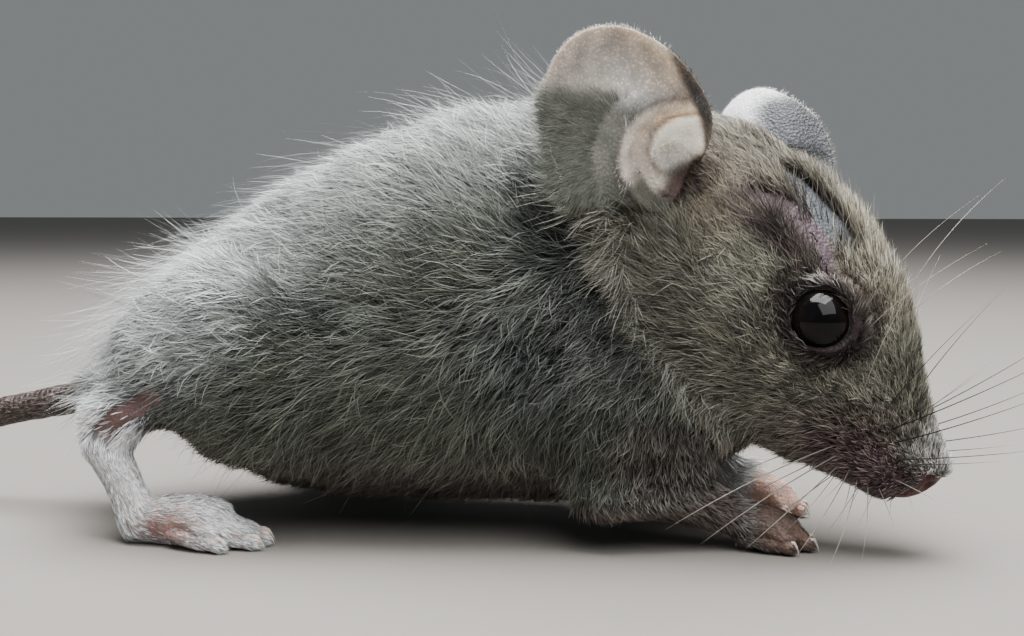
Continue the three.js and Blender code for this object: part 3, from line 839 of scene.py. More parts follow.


# ---- Markings, shared by the skin and the coat ------------------------------------------------------
# Some colours stand for light and shade: the back against the flank is painted top light, the rump painted rim
# light, the shoulder and belly painted shade; the ear, far paw and shank colours so named carry painted shade,
# sheen or sunlight.
PAINTS = {
    "back": "#909493", "flank": "#44473f", "shoulder": "#3e4039", "belly": "#4e4b46", "rump_and_rim_light": "#b2b7b8",
    "head": "#6c6b61", "cheek": "#66645a", "tan": "#6b5a45", "brow": "#a59f91", "muzzle": "#615252",
    "muzzle_skin": "#68515a", "snout": "#c4c3be", "slate": "#272c2f", "foot_hair": "#c6c8ca",
    "foot_skin": "#b3a5a1", "arch_skin": "#8f6d68", "paw_skin": "#655249", "sunlit_far_paw_skin": "#e6b7a3",
    "tail_skin": "#2a1c1a", "tail_hair": "#665d59", "ear_skin": "#b5b1aa", "ear_pale": "#f6fbff",
    "ear_shadow": "#6b6e67", "ear_cream": "#fdfdf8", "ear_ring": "#dcd6cc", "ear_fold_shade": "#7d6553",
    "ear_pit_shade": "#73756d", "mauve_ear_notch_shade": "#55423f", "ear_edge": "#3a3b3c", "ear_hair": "#f0ece4",
    "ear_back": "#f4f8fc", "ear_back_front_shade": "#373c41", "front_fold": "#342a27",
    "nose": "#3c0b0b", "lid": "#1c1113", "lid_outer": "#40292f", "wet": "#33282a", "patch": "#574850",
    "patch_blue": "#50565c", "shank_hair_and_sheen": "#e9ebed", "web": "#604a48", "arm_hair": "#4e4541",
    "throat": "#564e49", "sunlit_white_fluff": "#fdfdfc", "crown": "#544f46",
}
PAINT = {name: np.array([linear(code)]) for name, code in PAINTS.items()}

# Places where the coat parts and shows its slate underfur, with the size of each (model frame, mm).
PARTINGS = (
    ((9.4, -3.8, 15.6), (1.9, 3.5, 1.1)), ((7.7, -6.2, 13.4), (1.4, 3.0, 0.8)),
    ((12.2, -8.3, 10.9), (1.0, 3.0, 0.7)), ((22.3, -7.4, 15.0), (1.3, 3.0, 1.8)),
    ((24.2, -7.0, 13.4), (1.9, 3.0, 2.4)), ((21.0, -8.0, 9.4), (1.5, 3.0, 2.0)),
)

# The bare fold of skin between the right thigh and the hock.
WEB = ((0.75, -8.7, 5.45), (1.4, -8.7, 6.0), (2.2, -8.7, 6.5), (3.1, -8.7, 7.0))


def share_in(region, table, *kinds, rounds=12):
    """How far each vertex belongs to some of the regions, evened out at their edges."""
    names = list(REGIONS)
    return relaxed(np.isin(region, [names.index(k) for k in kinds]).astype(float), table, rounds)


def body_lie(points):
    """The lie of the body's coat: up and back over the top of the shoulder, down and back below it."""
    x, z = points[:, 0], points[:, 2]
    high = -8 + 16 * ease(x, 3, 9) + 32 * ease(x, 12, 21)
    low = -12 - 33 * ease(z, 9, 4.5) - 30 * ease(x, 15, 21)
    parting = 9.8 + 4.3 * ease(x, 15, 23)
    angle = np.radians(low + (high - low) * ease(z, parting - 1.2, parting + 1.2))
    return np.column_stack([-np.cos(angle), 0 * angle, np.sin(angle)])


def coat_lie(points, table, region, group):
    """The direction in which the coat lies at each vertex."""
    names = list(REGIONS)
    lie = np.zeros_like(points)
    for index, name in enumerate(GROUPS):
        mine = group == index
        lie[mine] = along_line(points[mine], LINES[name])[1]
    body = np.isin(region, [names.index(name) for name in ALL_BODY])
    lie[body] = body_lie(points)[body]
    # Under the cheek the hair turns down to the throat.
    head = into(HEAD_FRAME, points)
    lie[:, 2] -= 0.9 * (region == names.index("head")) * ease(head[:, 2], -1.5, -5.0)
    for side in SIDES:
        turn = np.array(ear_frame(side).to_3x3())
        front, up, _, _ = on_ear(side, points)
        mine = (region == names.index("ear")) & (group == GROUPS.index(f"ear_{side}"))
        outward = np.column_stack([-SIDES[side] * front, 0 * front, up + 0.2])
        lie[mine] = unit(outward @ turn.T)[mine]
    return unit(relaxed(lie, table, 20))


def ear_paint(points, normals):
    """Brown speckled leaf, paler in the middle, with cream folds, a dark front edge and a grey rear. The fold
    lines, the bowl's lower part and notch and the grey rear are painted shade, and the back of the leaf is painted
    sheen that turns to painted shade towards the front.

    Gives the colour, and how thick the fine grey hair is that covers the hollow's lower rear, where the same share
    also paints shade.
    """
    colour = np.repeat(PAINT["ear_skin"], len(points), axis=0)
    shading = np.zeros(len(points))
    for side in SIDES:
        front, up, reach, behind = on_ear(side, points)
        mine = (reach < 1.25) & (np.abs(behind) < 1.5)
        hollow = ease(normals @ np.array(ear_frame(side).to_3x3())[:, 1], 0.2, -0.2)
        along = np.column_stack([front * EAR_HALF_WIDTH - CONCHA_AT[0], up * EAR_HALF_HEIGHT - CONCHA_AT[1]])
        away = np.linalg.norm(along, axis=1)
        inner = np.hypot((along[:, 0] - 0.5) / 1.5, (along[:, 1] - 0.75) / 1.2)
        low = ease(along[:, 1], 0.2, -0.35) * ease(along[:, 0], -1.0, -0.3) * ease(away, 3.0, 2.6)
        pit = ease(0.25 * along[:, 0] - along[:, 1], 0.05, 0.7)
        folds = np.exp(-(((inner - 1.12) / 0.1) ** 2)) + np.exp(-(((away - 3.0) / 0.15) ** 2))
        middle = np.exp(-(((front - 0.15) / 0.45) ** 2) - ((up - 0.2) / 0.35) ** 2)
        shade = ease(up + 0.55 * front, 0.46, 0.16) * np.maximum(ease(away, 2.9, 3.1), ease(up, -0.8, -0.9))
        painted = blended(PAINT["ear_skin"], PAINT["ear_pale"], 0.8 * middle)
        painted = blended(painted, PAINT["ear_ring"], ease(away, 3.0, 2.8))
        painted = blended(painted, PAINT["ear_cream"], ease(inner, 1.15, 0.95))
        # Painted shade along the creases of the folds.
        painted = blended(painted, PAINT["ear_fold_shade"], 0.6 * np.clip(folds, 0, 1))
        # Painted shade in the bowl's lower part, and deeper painted shade over the notch's mauve skin.
        painted = blended(painted, PAINT["ear_pit_shade"], low)
        painted = blended(painted, PAINT["mauve_ear_notch_shade"], 0.95 * pit)
        # Past the bowl's lower side the leaf takes a darkened shoulder colour: fur, with painted shade.
        beyond = ease(away, 1.6, 2.0) * ease(along[:, 1], 0.9, -0.1)
        painted = blended(painted, PAINT["shoulder"] * 1.6, 0.95 * beyond)
        # Painted shade over the hollow's lower rear, deepening towards the bottom, where fine grey hair also grows.
        shaded = blended(PAINT["ear_shadow"], PAINT["shoulder"], 0.8 * ease(up, -0.1, -0.6))
        painted = blended(painted, shaded, 0.92 * shade)
        painted = blended(painted, PAINT["ear_edge"], 0.95 * ease(front, 0.8, 0.88) * ease(up, 0.75, 0.5))
        # The back of the leaf: painted sheen, giving way to painted shade towards the upper front.
        back = blended(PAINT["ear_back"], PAINT["ear_back_front_shade"], ease(front, 0.0, 0.5) * ease(up, 0.95, 0.65))
        painted = blended(back, painted, hollow)
        colour[mine] = painted[mine]
        shading[mine] = (shade * hollow)[mine]
    return colour, shading


def face_paint(head, folded):
    """Ticked grey-brown, paler over the brow partly as painted top light, tan before the ears, dark whisker pads,
    pale snout.
    """
    face = blended(PAINT["head"], PAINT["cheek"], ease(head[:, 2], 1.0, -3.0))
    face = blended(face, PAINT["tan"], 0.6 * bump(folded, (0.6, 4.5, 1.6), (2.0, 2.0, 1.8)))
    face = blended(face, PAINT["crown"], 0.8 * ease(head[:, 2], 1.0, 2.5) * ease(head[:, 0], 4.5, 2.0))
    # Partly painted top light: the brow and the bridge of the nose are paler.
    face = blended(face, PAINT["brow"], 0.7 * ease(head[:, 2], 1.2, 2.8) * ease(head[:, 0], 13.8, 11.0)
                   * (0.25 + 0.75 * ease(head[:, 0], 2.0, 5.0)))
    face = blended(face, PAINT["front_fold"], 0.9 * bump(folded, (-0.6, 4.0, 1.1), (1.5, 1.9, 2.0)))
    face = blended(face, PAINT["muzzle"], whisker_pad(folded))
    return blended(face, PAINT["snout"], 0.85 * ease(head[:, 0], 13.2, 14.4) * ease(head[:, 2], -2.2, -1.0))


def whisker_pad(folded):
    """How far each point lies on a whisker pad."""
    return 0.95 * np.minimum(1, 1.9 * bump(folded, (13.0, 2.2, -3.4), (2.4, 2.3, 1.8)))


def bare_patch(head):
    """The mauve and the blue-grey part of the bare patch above and behind the right eye."""
    right = head[:, 1] < 0
    mauve = ease(bump(head, (3.6, -3.2, 2.5), (2.6, 1.5, 1.4)), 0.3, 0.5) * right
    blue = ease(bump(head, (4.0, -1.5, 3.9), (3.2, 0.9, 1.1)), 0.3, 0.5) * right
    return mauve, blue


def lid_distance(points):
    """How far each point lies from the nearer eye's middle, less at the corner towards the nose."""
    away = np.full(len(points), 99.0)
    for side in SIDES:
        local = into(eye_frame(side), points)
        distance = np.linalg.norm(local, axis=1) - 0.6 * ease(local[:, 0], 0.4, 1.8)
        distance += 0.3 * ease(-SIDES[side] * local[:, 1], -0.4, -1.3)
        away = np.minimum(away, distance)
    return away + 0.07 * np.sin(3.1 * points[:, 0] + 2.0 * points[:, 2]) * np.cos(4.3 * points[:, 2])


def lid_edge(points):
    """How near each point lies to the lids' wet edge, and where the rims of the lids are bald."""
    edge, bald = np.zeros(len(points)), np.zeros(len(points))
    for side in SIDES:
        local = into(eye_frame(side), points)
        near = (np.linalg.norm(local, axis=1) < 2.6) & (local[:, 2] > -0.3)
        edge = np.maximum(edge, near * ease(in_opening(side, local), 1.45, 1.15))
        corner = 0.35 * ease(local[:, 0], 0.6, 1.4)
        bald = np.maximum(bald, near * ease(in_opening(side, local) - corner, 1.14, 1.02))
    return edge, bald


def paint_skin(mesh, tree, regions, groups):
    """Works out the coat's lie, depth and markings, with their painted light and shade, for every vertex, and
    stores them on the mesh.
    """
    points = vertex_array(mesh)
    table = neighbour_table(mesh)
    values, region, group = dressed_as(points, table, tree, regions, groups)
    normals = vertex_normals(points, triangle_array(mesh))
    lie = coat_lie(points, table, region, group)
    head = into(HEAD_FRAME, points)
    folded = np.column_stack([head[:, 0], np.abs(head[:, 1]), head[:, 2]])
    mirrored = np.column_stack([points[:, 0], np.abs(points[:, 1]), points[:, 2]])
    eye_away = lid_distance(points)
    wet_edge, bald = lid_edge(points)
    is_head = share_in(region, table, "head", rounds=30)
    is_neck = share_in(region, table, "neck", rounds=45)
    is_tail = share_in(region, table, "tail")
    is_foot = share_in(region, table, "hindfoot", "forepaw")
    is_body = share_in(region, table, "trunk", "thigh", "neck")
    is_ear = (region == list(REGIONS).index("ear")).astype(float)
    is_arm = share_in(region, table, "foreleg")
    is_shank = share_in(region, table, "shank")

    # Shorter hair towards the nose, round eyes and ears, on the lower edges and over the tail's root.
    low = ease(points[:, 2], 6.5, 3.0)
    length = values[:, LENGTH]
    length = length * (1 - 0.6 * is_head * ease(head[:, 0], 8.5, 14.2))
    length = length * (1 - 0.5 * is_head * ease(eye_away, 3.6, 2.2))
    length = length * (1 + 0.35 * is_head * bump(folded, (1.0, 5.0, -4.0), (4.0, 3.0, 3.5)))
    length = length * (1 - 0.35 * is_head * whisker_pad(folded))
    length = length * (1 - 0.8 * is_body * bump(mirrored, (3.8, 8.0, 5.8), (3.8, 4.0, 2.6)))
    length = length * (1 - 0.4 * is_body * low)
    length = length * (1 - 0.55 * is_neck * ease(points[:, 2], 8.5, 6.0) * ease(points[:, 0], 23.0, 27.0))
    length = length * (1 - 0.5 * is_body * bump(points, (-1.5, 0, 6.5), (2.0, 3.0, 2.5)))
    length = length * (1 - 0.35 * is_arm * ease(points[:, 0], 24.0, 28.0))
    brow = is_head * ease(head[:, 2], 1.0, 2.6) * ease(eye_away, 2.5, 3.6) * ease(head[:, 0], 14.0, 11.5) * ease(head[:, 0], 1.0, 4.0)
    far_fore = ease(points[:, 1], 0.5, 1.5) * ease(points[:, 0], 25.5, 27.5)
    stand = 1 + 0.9 * brow - 0.45 * is_body * low + 1.3 * is_arm * far_fore
    length = length * (1 + 2.2 * is_arm * far_fore)
    bare, crowd = values[:, BARE], values[:, CROWD]
    rim, hidden, notch, skirt = (np.zeros(len(points)) for _ in range(4))
    for side in SIDES:
        front, up, reach, behind = on_ear(side, points)
        near = np.abs(behind) < 1.6
        notch = np.maximum(notch, near * (1 - is_ear) * ease(reach, 1.6, 1.1) * ease(front, -0.3, 0.2))
        hidden = np.maximum(hidden, near * (1 - is_ear) * ease(reach, 1.0, 0.94))
        rim = np.maximum(rim, near * is_ear * ease(reach, 0.94, 0.99) * ease(up, 0.1, 0.4)
                         * (1 - 0.7 * ease(front, 0.3, 0.6)))
        skirt = np.maximum(skirt, (np.abs(behind) < 3.0) * (1 - is_ear) * ease(reach, 1.9, 1.3)
                           * ease(up, -0.1, -0.4) * ease(front, 0.4, 0.0))
    length = length * (1 - 0.5 * notch) * (1 + 0.35 * skirt)
    stand = stand + 0.8 * skirt
    parting = np.max([bump(points, *place) for place in PARTINGS], axis=0) * (1 - is_head)
    before = np.max([bump(points - (1.3, 0, -0.4), *place) for place in PARTINGS], axis=0) * (1 - is_head)
    length = length * (1 - 0.65 * np.maximum(parting, before))
    colour, shading = ear_paint(points, normals)
    shading = shading * is_ear
    # The ear's lower rear edge is lost in longer hair of the body's own colour.
    merge = np.zeros(len(points))
    for side in SIDES:
        front, up, reach, behind = on_ear(side, points)
        merge = np.maximum(merge, is_ear * ease(reach, 0.74, 0.95) * ease(up, 0.1, -0.2) * ease(front, 0.6, 0.3))
    length = length * (1 + 1.9 * shading + 1.3 * merge) * (1 - 0.5 * rim)
    stand = stand + 0.6 * merge
    values[:, WIDTH] *= 1 + 0.9 * merge

    # The bare nose, lids and the patch above the right eye.
    nose = ease(head[:, 0], 14.3, 14.9) * ease(head[:, 2], -1.2, -1.6) * ease(folded[:, 1], 1.5, 1.1) * is_head
    rims = ease(eye_away, 2.45, 2.1) * is_head
    mauve, blue = (share * is_head for share in bare_patch(head))
    # Hair lies backwards, so the roots are missing ahead of the patch as well as on it.
    patch = np.max([mauve, blue, *bare_patch(head - (1.0, 0, 0.2))], axis=0) * is_head
    crowd = crowd * (1 - nose) * (1 - 0.97 * patch)
    pad = whisker_pad(folded) * is_head
    rims = np.maximum(rims, bald)
    crowd = crowd * (1 - 0.35 * pad)
    # A lock of wet hair crosses the patch from over the eye towards the ear.
    wet = 1.2 * bump(head, (4.6, -3.9, 1.95), (2.4, 1.0, 0.36)) * is_head
    crowd = np.maximum(crowd, wet)
    length = length * (1 + 0.8 * wet)
    crowd = crowd * (1 - hidden) * (1 + 4 * rim + 5 * shading + 3 * merge) * (1 - bald)
    # Bare skin in the fold before the right hock, and under the arch of each hind foot.
    web = np.max([bump(points, place, (0.85, 2.0, 0.6)) for place in WEB], axis=0)
    over_web = np.max([bump(points - (1.2, 0, 0.6), place, (1.3, 2.0, 0.9)) for place in WEB], axis=0)
    length = length * (1 - 0.6 * over_web)
    web = ease(web, 0.3, 0.6)
    arch = np.minimum(1, 1.4 * bump(mirrored, (4.1, 9.4, 0.9), (1.8, 1.4, 0.9)))
    crowd = crowd * (1 - 0.95 * web) * (1 - 0.92 * arch)
    bare = np.maximum.reduce([bare, nose, rims, patch, hidden])

    # Painted top light: the coat turns from the dark flank colour to the far paler back colour as the skin faces
    # up, partly the back's own colour.
    up = ease(normals[:, 2], 0.28, 0.95)
    coat = blended(PAINT["flank"], PAINT["back"], up)
    # Painted rim light on the rump, over the rump's own pale colour.
    rear = points[:, 0] + 1.3 * np.maximum(11.5 - points[:, 2], 0)
    rear = ease(rear, 14.0, 4.0) * ease(normals[:, 2], -0.7, 0.1)
    coat = blended(coat, PAINT["rump_and_rim_light"], 0.85 * rear)
    # Partly painted shade from the ear and head, partly the neck's own darker fur: the neck's sides below the top
    # take the shoulder colour.
    coat = blended(coat, PAINT["shoulder"], 0.9 * is_neck * (1 - up))
    # Painted shade on the underside, over the belly's own grey-brown.
    coat = blended(coat, PAINT["belly"], ease(normals[:, 2], -0.2, -0.85))
    coat = blended(coat, face_paint(head, folded), is_head)
    # Painted shade where the cheek meets the shoulder, below the head.
    coat = coat * (1 - 0.5 * bump(mirrored, (27.4, 6.5, 9.8), (3.0, 4.0, 4.5)))[:, None]
    coat = blended(coat, PAINT["slate"], 0.75 * np.maximum(parting, 0.85 * before))

    near_patch = relaxed(np.maximum(mauve, blue), table, 6)
    dark = np.max([0.7 * is_head * ease(eye_away, 2.6, 2.2), 0.7 * near_patch, np.minimum(wet, 1)], axis=0)
    hair = blended(coat, PAINT["wet"], dark)
    # Pale hair over the lower shank, brightened further as painted sheen.
    hair = blended(hair, PAINT["shank_hair_and_sheen"], is_shank * ease(points[:, 2], 7.6, 5.6))
    hair = blended(hair, PAINT["throat"], 0.8 * is_neck * ease(points[:, 2], 7.5, 5.5) * ease(points[:, 0], 24, 27))
    hair = blended(hair, PAINT["arm_hair"], is_arm)
    # Painted light: the far arm's and chest's fluff is painted white as in sunlight, over its own pale colour.
    far_chest = far_fore * ease(points[:, 0], 26.5, 28.5) * ease(points[:, 2], 5.5, 3.5) * (1 - is_head)
    hair = blended(hair, PAINT["sunlit_white_fluff"], np.maximum(is_arm * far_fore, far_chest))
    hair = blended(hair, PAINT["foot_hair"], is_foot)
    hair = blended(hair, PAINT["arm_hair"], share_in(region, table, "forepaw") * (1 - far_fore))
    hair = blended(hair, PAINT["tail_hair"], is_tail)
    # The ears' down is as dark as the skin below it, painted shade included, except along the pale rim.
    dim = np.maximum(np.clip(colour.mean(axis=1) / 0.45, 0.25, 1), rim)[:, None]
    ear_hair = blended(PAINT["ear_hair"] * dim, PAINT["ear_shadow"], shading * (1 - rim))
    low_shade = shading * ease(points[:, 2], 19.5, 17.0)
    hair = blended(hair, blended(ear_hair, PAINT["flank"] * 1.2, np.maximum(0.95 * merge, 0.7 * low_shade)), is_ear)
    # Painted shade: under the coat the skin takes the coat's colour darkened, as if shaded by the hairs over it.
    skin = blended(coat * 0.4, PAINT["muzzle_skin"], pad)
    skin = blended(skin, PAINT["web"], 0.95 * web)
    skin = blended(skin, PAINT["foot_skin"], share_in(region, table, "hindfoot"))
    skin = blended(skin, PAINT["arch_skin"], 0.8 * arch)
    # Painted light: the far forepaw's skin is a sunlit copy, much paler than the near one's.
    paw_skin = blended(PAINT["paw_skin"], PAINT["sunlit_far_paw_skin"], far_fore)
    skin = blended(skin, paw_skin, np.maximum(share_in(region, table, "forepaw"), (0.5 + 0.4 * far_fore) * is_arm))
    skin = blended(skin, PAINT["tail_skin"], is_tail)
    skin = blended(skin, colour, relaxed(np.maximum(is_ear, hidden), table, 2))
    skin = blended(skin, PAINT["patch"], mauve)
    skin = blended(skin, PAINT["patch_blue"], blue)
    lid = blended(PAINT["lid_outer"], 0.75 * PAINT["patch"], ease(head[:, 0], 8.2, 9.2))
    skin = blended(skin, blended(lid, PAINT["lid"], wet_edge), rims)
    skin = blended(skin, PAINT["nose"], nose)

    station = along_line(points, LINES["tail"])[0]
    write_attribute(mesh, "marking", skin, "FLOAT_COLOR")
    write_attribute(mesh, "hair", hair, "FLOAT_COLOR")
    write_attribute(mesh, "lie", lie, "FLOAT_VECTOR")
    for name, amount in (("depth", values[:, DEPTH]), ("length", length), ("width", values[:, WIDTH]),
                         ("crowd", crowd), ("bare", bare), ("group", group), ("region", region),
                         ("ring", station * 130.0), ("ringed", is_tail), ("stand", stand), ("thin", is_ear)):
        write_attribute(mesh, name, amount, "FLOAT")
    return mesh


# ---- Coat -------------------------------------------------------------------------------------------
class Roots:
    """Places on the skin where hairs grow, with all that the skin says about the hair there."""

    def __init__(self, skin, chance, count, rng):
        points = vertex_array(skin) / MM
        triangles = triangle_array(skin)
        normals = vertex_normals(points, triangles)
        lie = read_attribute(skin, "lie", 3)
        table = neighbour_table(skin)
        step = points[table] - points[:, None]
        swing = normals[table] - normals[:, None]
        square = np.maximum((step**2).sum(axis=2), 1e-6)
        aligned = ((step * lie[:, None]).sum(axis=2) ** 2) / square
        bend = ((swing * step).sum(axis=2) / square * aligned).sum(axis=1) / np.maximum(
            aligned.sum(axis=1), 1e-6)
        bend = np.clip(relaxed(bend, table, 8), -0.1, 0.3)
        corners = [points[triangles[:, i]] for i in range(3)]
        area = np.linalg.norm(np.cross(corners[1] - corners[0], corners[2] - corners[0]), axis=1) / 2
        weight = area * chance[triangles].mean(axis=1)
        picked = np.searchsorted(np.cumsum(weight), rng.random(count) * weight.sum())
        picked = np.minimum(picked, len(triangles) - 1)
        u, v = rng.random(count), rng.random(count)
        over = u + v > 1
        u[over], v[over] = 1 - u[over], 1 - v[over]
        mix = np.column_stack([1 - u - v, u, v])
        chosen = triangles[picked]

        def at(values):
            if values.ndim == 1:
                return (values[chosen] * mix).sum(axis=1)
            return (values[chosen] * mix[:, :, None]).sum(axis=1)

        self.point = at(points)
        self.normal = unit(at(normals))
        flow = at(lie)
        flow -= self.normal * (flow * self.normal).sum(axis=1)[:, None]
        self.lie = unit(flow)
        self.bend = at(bend)
        self.colour = at(read_attribute(skin, "hair", 4)[:, :3])
        self.depth, self.length, self.width, self.stand = (
            at(read_attribute(skin, name, 1)) for name in ("depth", "length", "width", "stand"))
        self.group = read_attribute(skin, "group", 1)[chosen[:, 0]].round().astype(int)
        self.uv = unwrapped(self.point, self.group)
        self.count = count


def wavering(points, scale, rng):
    """A smooth random value between about -1 and 1 that changes over a distance of scale."""
    total = np.zeros(len(points))
    for _ in range(5):
        way = rng.normal(size=3)
        way *= 2 * math.pi / scale / np.linalg.norm(way) * rng.uniform(0.6, 1.5)
        total += np.sin(points @ way + rng.uniform(0, 2 * math.pi))
    return total / 3


def hair_paths(roots, length, rise, angle, curl, shares):
    """Each hair's middle line: along the lie, turned by an angle and a curl, over the bent skin."""
    across = np.cross(roots.normal, roots.lie)
    path = np.empty((roots.count, len(shares), 3))
    for index, share in enumerate(shares):
        way = angle + curl * share
        ahead = roots.lie * np.cos(way)[:, None] + across * np.sin(way)[:, None]
        run = length * share
        lift = rise * share**0.75 - 0.04 - roots.bend * run**2 / 2
        path[:, index] = roots.point + ahead * run[:, None] + roots.normal * lift[:, None]
    return path


def gathered(path, roots, rng, spacing, strength, shares):
    """Hairs drawn together into locks: each bends towards the tip of the lock nearest its root."""
    count = max(int(roots.count / spacing), 1)
    leaders = rng.choice(roots.count, count, replace=False)
    tree = KDTree(count)
    for index, leader in enumerate(leaders):
        tree.insert(Vector(roots.point[leader]), index)
    tree.balance()
    lock = np.array([tree.find(Vector(p))[1] for p in roots.point])
    own = leaders[lock]
    pull = strength * rng.uniform(0.3, 1.0, count)[lock]
    for index, share in enumerate(shares):
        towards = path[own, index] - path[:, index]
        path[:, index] += towards * (pull * share**1.2)[:, None]
    return path, lock


def hair_mesh(name, path, half_width, flat, roots, colour, shares):
    """Tapering ribbons along the paths as one mesh, lying flat on the skin."""
    hairs, rings, _ = path.shape
    taper = np.sqrt(np.clip(1 - np.array(shares) ** 2, 0, 1))
    taper[0] = 0.8
    run = np.gradient(path, axis=1)
    aside = np.cross(run, flat[:, None])
    aside /= np.maximum(np.linalg.norm(aside, axis=2, keepdims=True), 1e-9)
    wide = aside * (half_width[:, None] * taper)[:, :, None]
    left = (path - wide)[:, :-1]
    right = (path + wide)[:, :-1]
    per_hair = 2 * (rings - 1) + 1
    points = np.empty((hairs, per_hair, 3))
    points[:, 0:-1:2] = left
    points[:, 1:-1:2] = right
    points[:, -1] = path[:, -1]
    first = (np.arange(hairs) * per_hair)[:, None]
    quads = np.array([[2 * r, 2 * r + 1, 2 * r + 3, 2 * r + 2] for r in range(rings - 2)])
    last = np.array([2 * (rings - 2), 2 * (rings - 2) + 1, 2 * (rings - 1)])
    pattern = np.concatenate([quads.ravel(), last])
    corners = (first + pattern[None]).ravel()
    sizes = np.tile([4] * (rings - 2) + [3], hairs)
    starts = np.concatenate([[0], np.cumsum(sizes)[:-1]])
    mesh = bpy.data.meshes.new(name)
    mesh.vertices.add(hairs * per_hair)
    mesh.vertices.foreach_set("co", points.ravel())
    mesh.loops.add(len(corners))
    mesh.loops.foreach_set("vertex_index", corners.astype(np.int32))
    mesh.polygons.add(len(sizes))
    mesh.polygons.foreach_set("loop_start", starts.astype(np.int32))
    mesh.update(calc_edges=True)
    along = np.array([s for s in shares[:-1] for _ in (0, 1)] + [shares[-1]])
    write_attribute(mesh, "along", np.tile(along, hairs), "FLOAT")
    write_attribute(mesh, "marking", np.repeat(colour, per_hair, axis=0), "FLOAT_COLOR")
    # Each hair is a patch 0.003 across at its root's place on the unwrapped skin.
    patch = np.zeros((per_hair, 2))
    patch[0:-1:2, 0] = -0.0015
    patch[1:-1:2, 0] = 0.0015
    patch[:, 1] = (along - 0.5) * 0.003
    layer = mesh.uv_layers.new(name="OFBake")
    uv = (roots.uv[:, None] + patch[None]).reshape(-1, 2)
    layer.data.foreach_set("uv", uv[corners].astype(np.float32).ravel())
    return mesh


LONG_HAIR = (0.0, 0.3, 0.65, 1.0)  # where along a hair its rings stand: five triangles in each hair
SHORT_HAIR = (0.0, 0.5, 1.0)  # three triangles in each hair
GUARD_HAIR = (0.0, 0.2, 0.4, 0.6, 0.8, 1.0)

# The layers of the coat: regions they cover, rings and number of hairs, hairs in a lock, how strongly
# locks gather, length and rise beside the region's own, width beside it, tone, how far the tone wanders,
# and how far hairs stray from the lie.
HEAD = ("head",)
LIMBS = ("shank", "foreleg", "tail")
FEET = ("hindfoot", "forepaw")
EARS_ONLY = ("ear",)
LAYERS = {
    "coat_undercoat": (ALL_BODY, SHORT_HAIR, 42000, 14, 0.2, 0.75, 0.4, 2.0, 0.45, 0.2, 1.0),
    "coat_body_inner": (ALL_BODY, SHORT_HAIR, 65000, 16, 0.4, 0.9, 0.6, 1.1, 0.7, 0.35, 1.0),
    "coat_body_middle": (ALL_BODY, LONG_HAIR, 39500, 10, 0.4, 1.0, 0.8, 0.85, 1.05, 0.55, 1.15),
    "coat_body_outer": (ALL_BODY, LONG_HAIR, 39500, 7, 0.3, 1.1, 0.95, 0.62, 1.45, 0.65, 1.3),
    "coat_head_inner": (HEAD, SHORT_HAIR, 33500, 14, 0.4, 0.95, 0.5, 1.8, 0.6, 0.35, 1.0),
    "coat_head_middle": (HEAD, SHORT_HAIR, 55000, 9, 0.5, 1.05, 0.8, 1.2, 1.0, 0.6, 1.15),
    "coat_head_outer": (HEAD, SHORT_HAIR, 55000, 7, 0.45, 1.15, 1.05, 1.05, 1.45, 0.75, 1.25),
    "coat_limbs": (LIMBS, SHORT_HAIR, 34000, 8, 0.3, 1.0, 1.0, 1.1, 1.15, 0.2, 0.6),
    "coat_feet": (FEET, SHORT_HAIR, 34000, 6, 0.25, 1.0, 1.0, 1.1, 1.15, 0.15, 0.4),
    "coat_ears": (EARS_ONLY, SHORT_HAIR, 28000, 6, 0.1, 1.0, 1.0, 1.1, 1.15, 0.3, 0.8),
}
# Long hairs that stand out of the coat: regions, number, length, rise and width beside the coat's own,
# share of pale ones, and their tone.
GUARDS = {
    "coat_guard_hairs": (ALL_BODY, 5000, (1.4, 2.6), (0.1, 0.4), (0.22, 0.42), 0.85, (1.2, 1.7)),
    "coat_brow_hairs": (HEAD, 1800, (1.2, 1.8), (0.1, 0.36), (0.55, 0.9), 0.45, (1.2, 1.8)),
}


def coat_layer(skin, name, share, rng):
    """One layer of the coat."""
    covered, shares, count, spacing, strength, longer, higher, wider, tone, spread, stray = LAYERS[name]
    count = int(count * share)
    region = read_attribute(skin, "region", 1).round().astype(int)
    names = list(REGIONS)
    chance = read_attribute(skin, "crowd", 1) * np.isin(region, [names.index(r) for r in covered])
    roots = Roots(skin, chance, count, rng)
    length = roots.length * longer * rng.uniform(0.65, 1.2, count)
    rise = (0.1 * length + roots.depth * higher) * roots.stand * rng.uniform(0.6, 1.12, count)
    rise = np.minimum(rise, 0.8 * length)
    angle = 0.14 * wavering(roots.point, 7.0, rng) + 0.2 * wavering(roots.point, 1.6, rng)
    angle = stray * (angle + rng.normal(0, 0.19, count))
    curl = stray * rng.normal(0, 0.28, count)
    path = hair_paths(roots, length, rise, angle, curl, shares)
    path, lock = gathered(path, roots, rng, spacing, strength, shares)
    path[:, :, 2] = np.maximum(path[:, :, 2], 0.02)
    shade = 1 + spread * (0.7 * rng.normal(size=lock.max() + 1)[lock] + 0.7 * rng.normal(size=count))
    shade = shade + spread * (0.35 * wavering(roots.point, 5.0, rng) + 0.3 * wavering(roots.point, 1.6, rng))
    shade = tone * np.clip(shade, 0.2, 2.4)
    colour = np.clip(roots.colour * shade[:, None], 0.004, 0.85)
    roll = rng.normal(0, 0.5, count)
    across = np.cross(roots.normal, roots.lie)
    flat = roots.normal * np.cos(roll)[:, None] + across * np.sin(roll)[:, None]
    half = roots.width * wider * rng.uniform(0.7, 1.25, count)
    return hair_mesh(name, path, half, flat, roots, colour, shares)


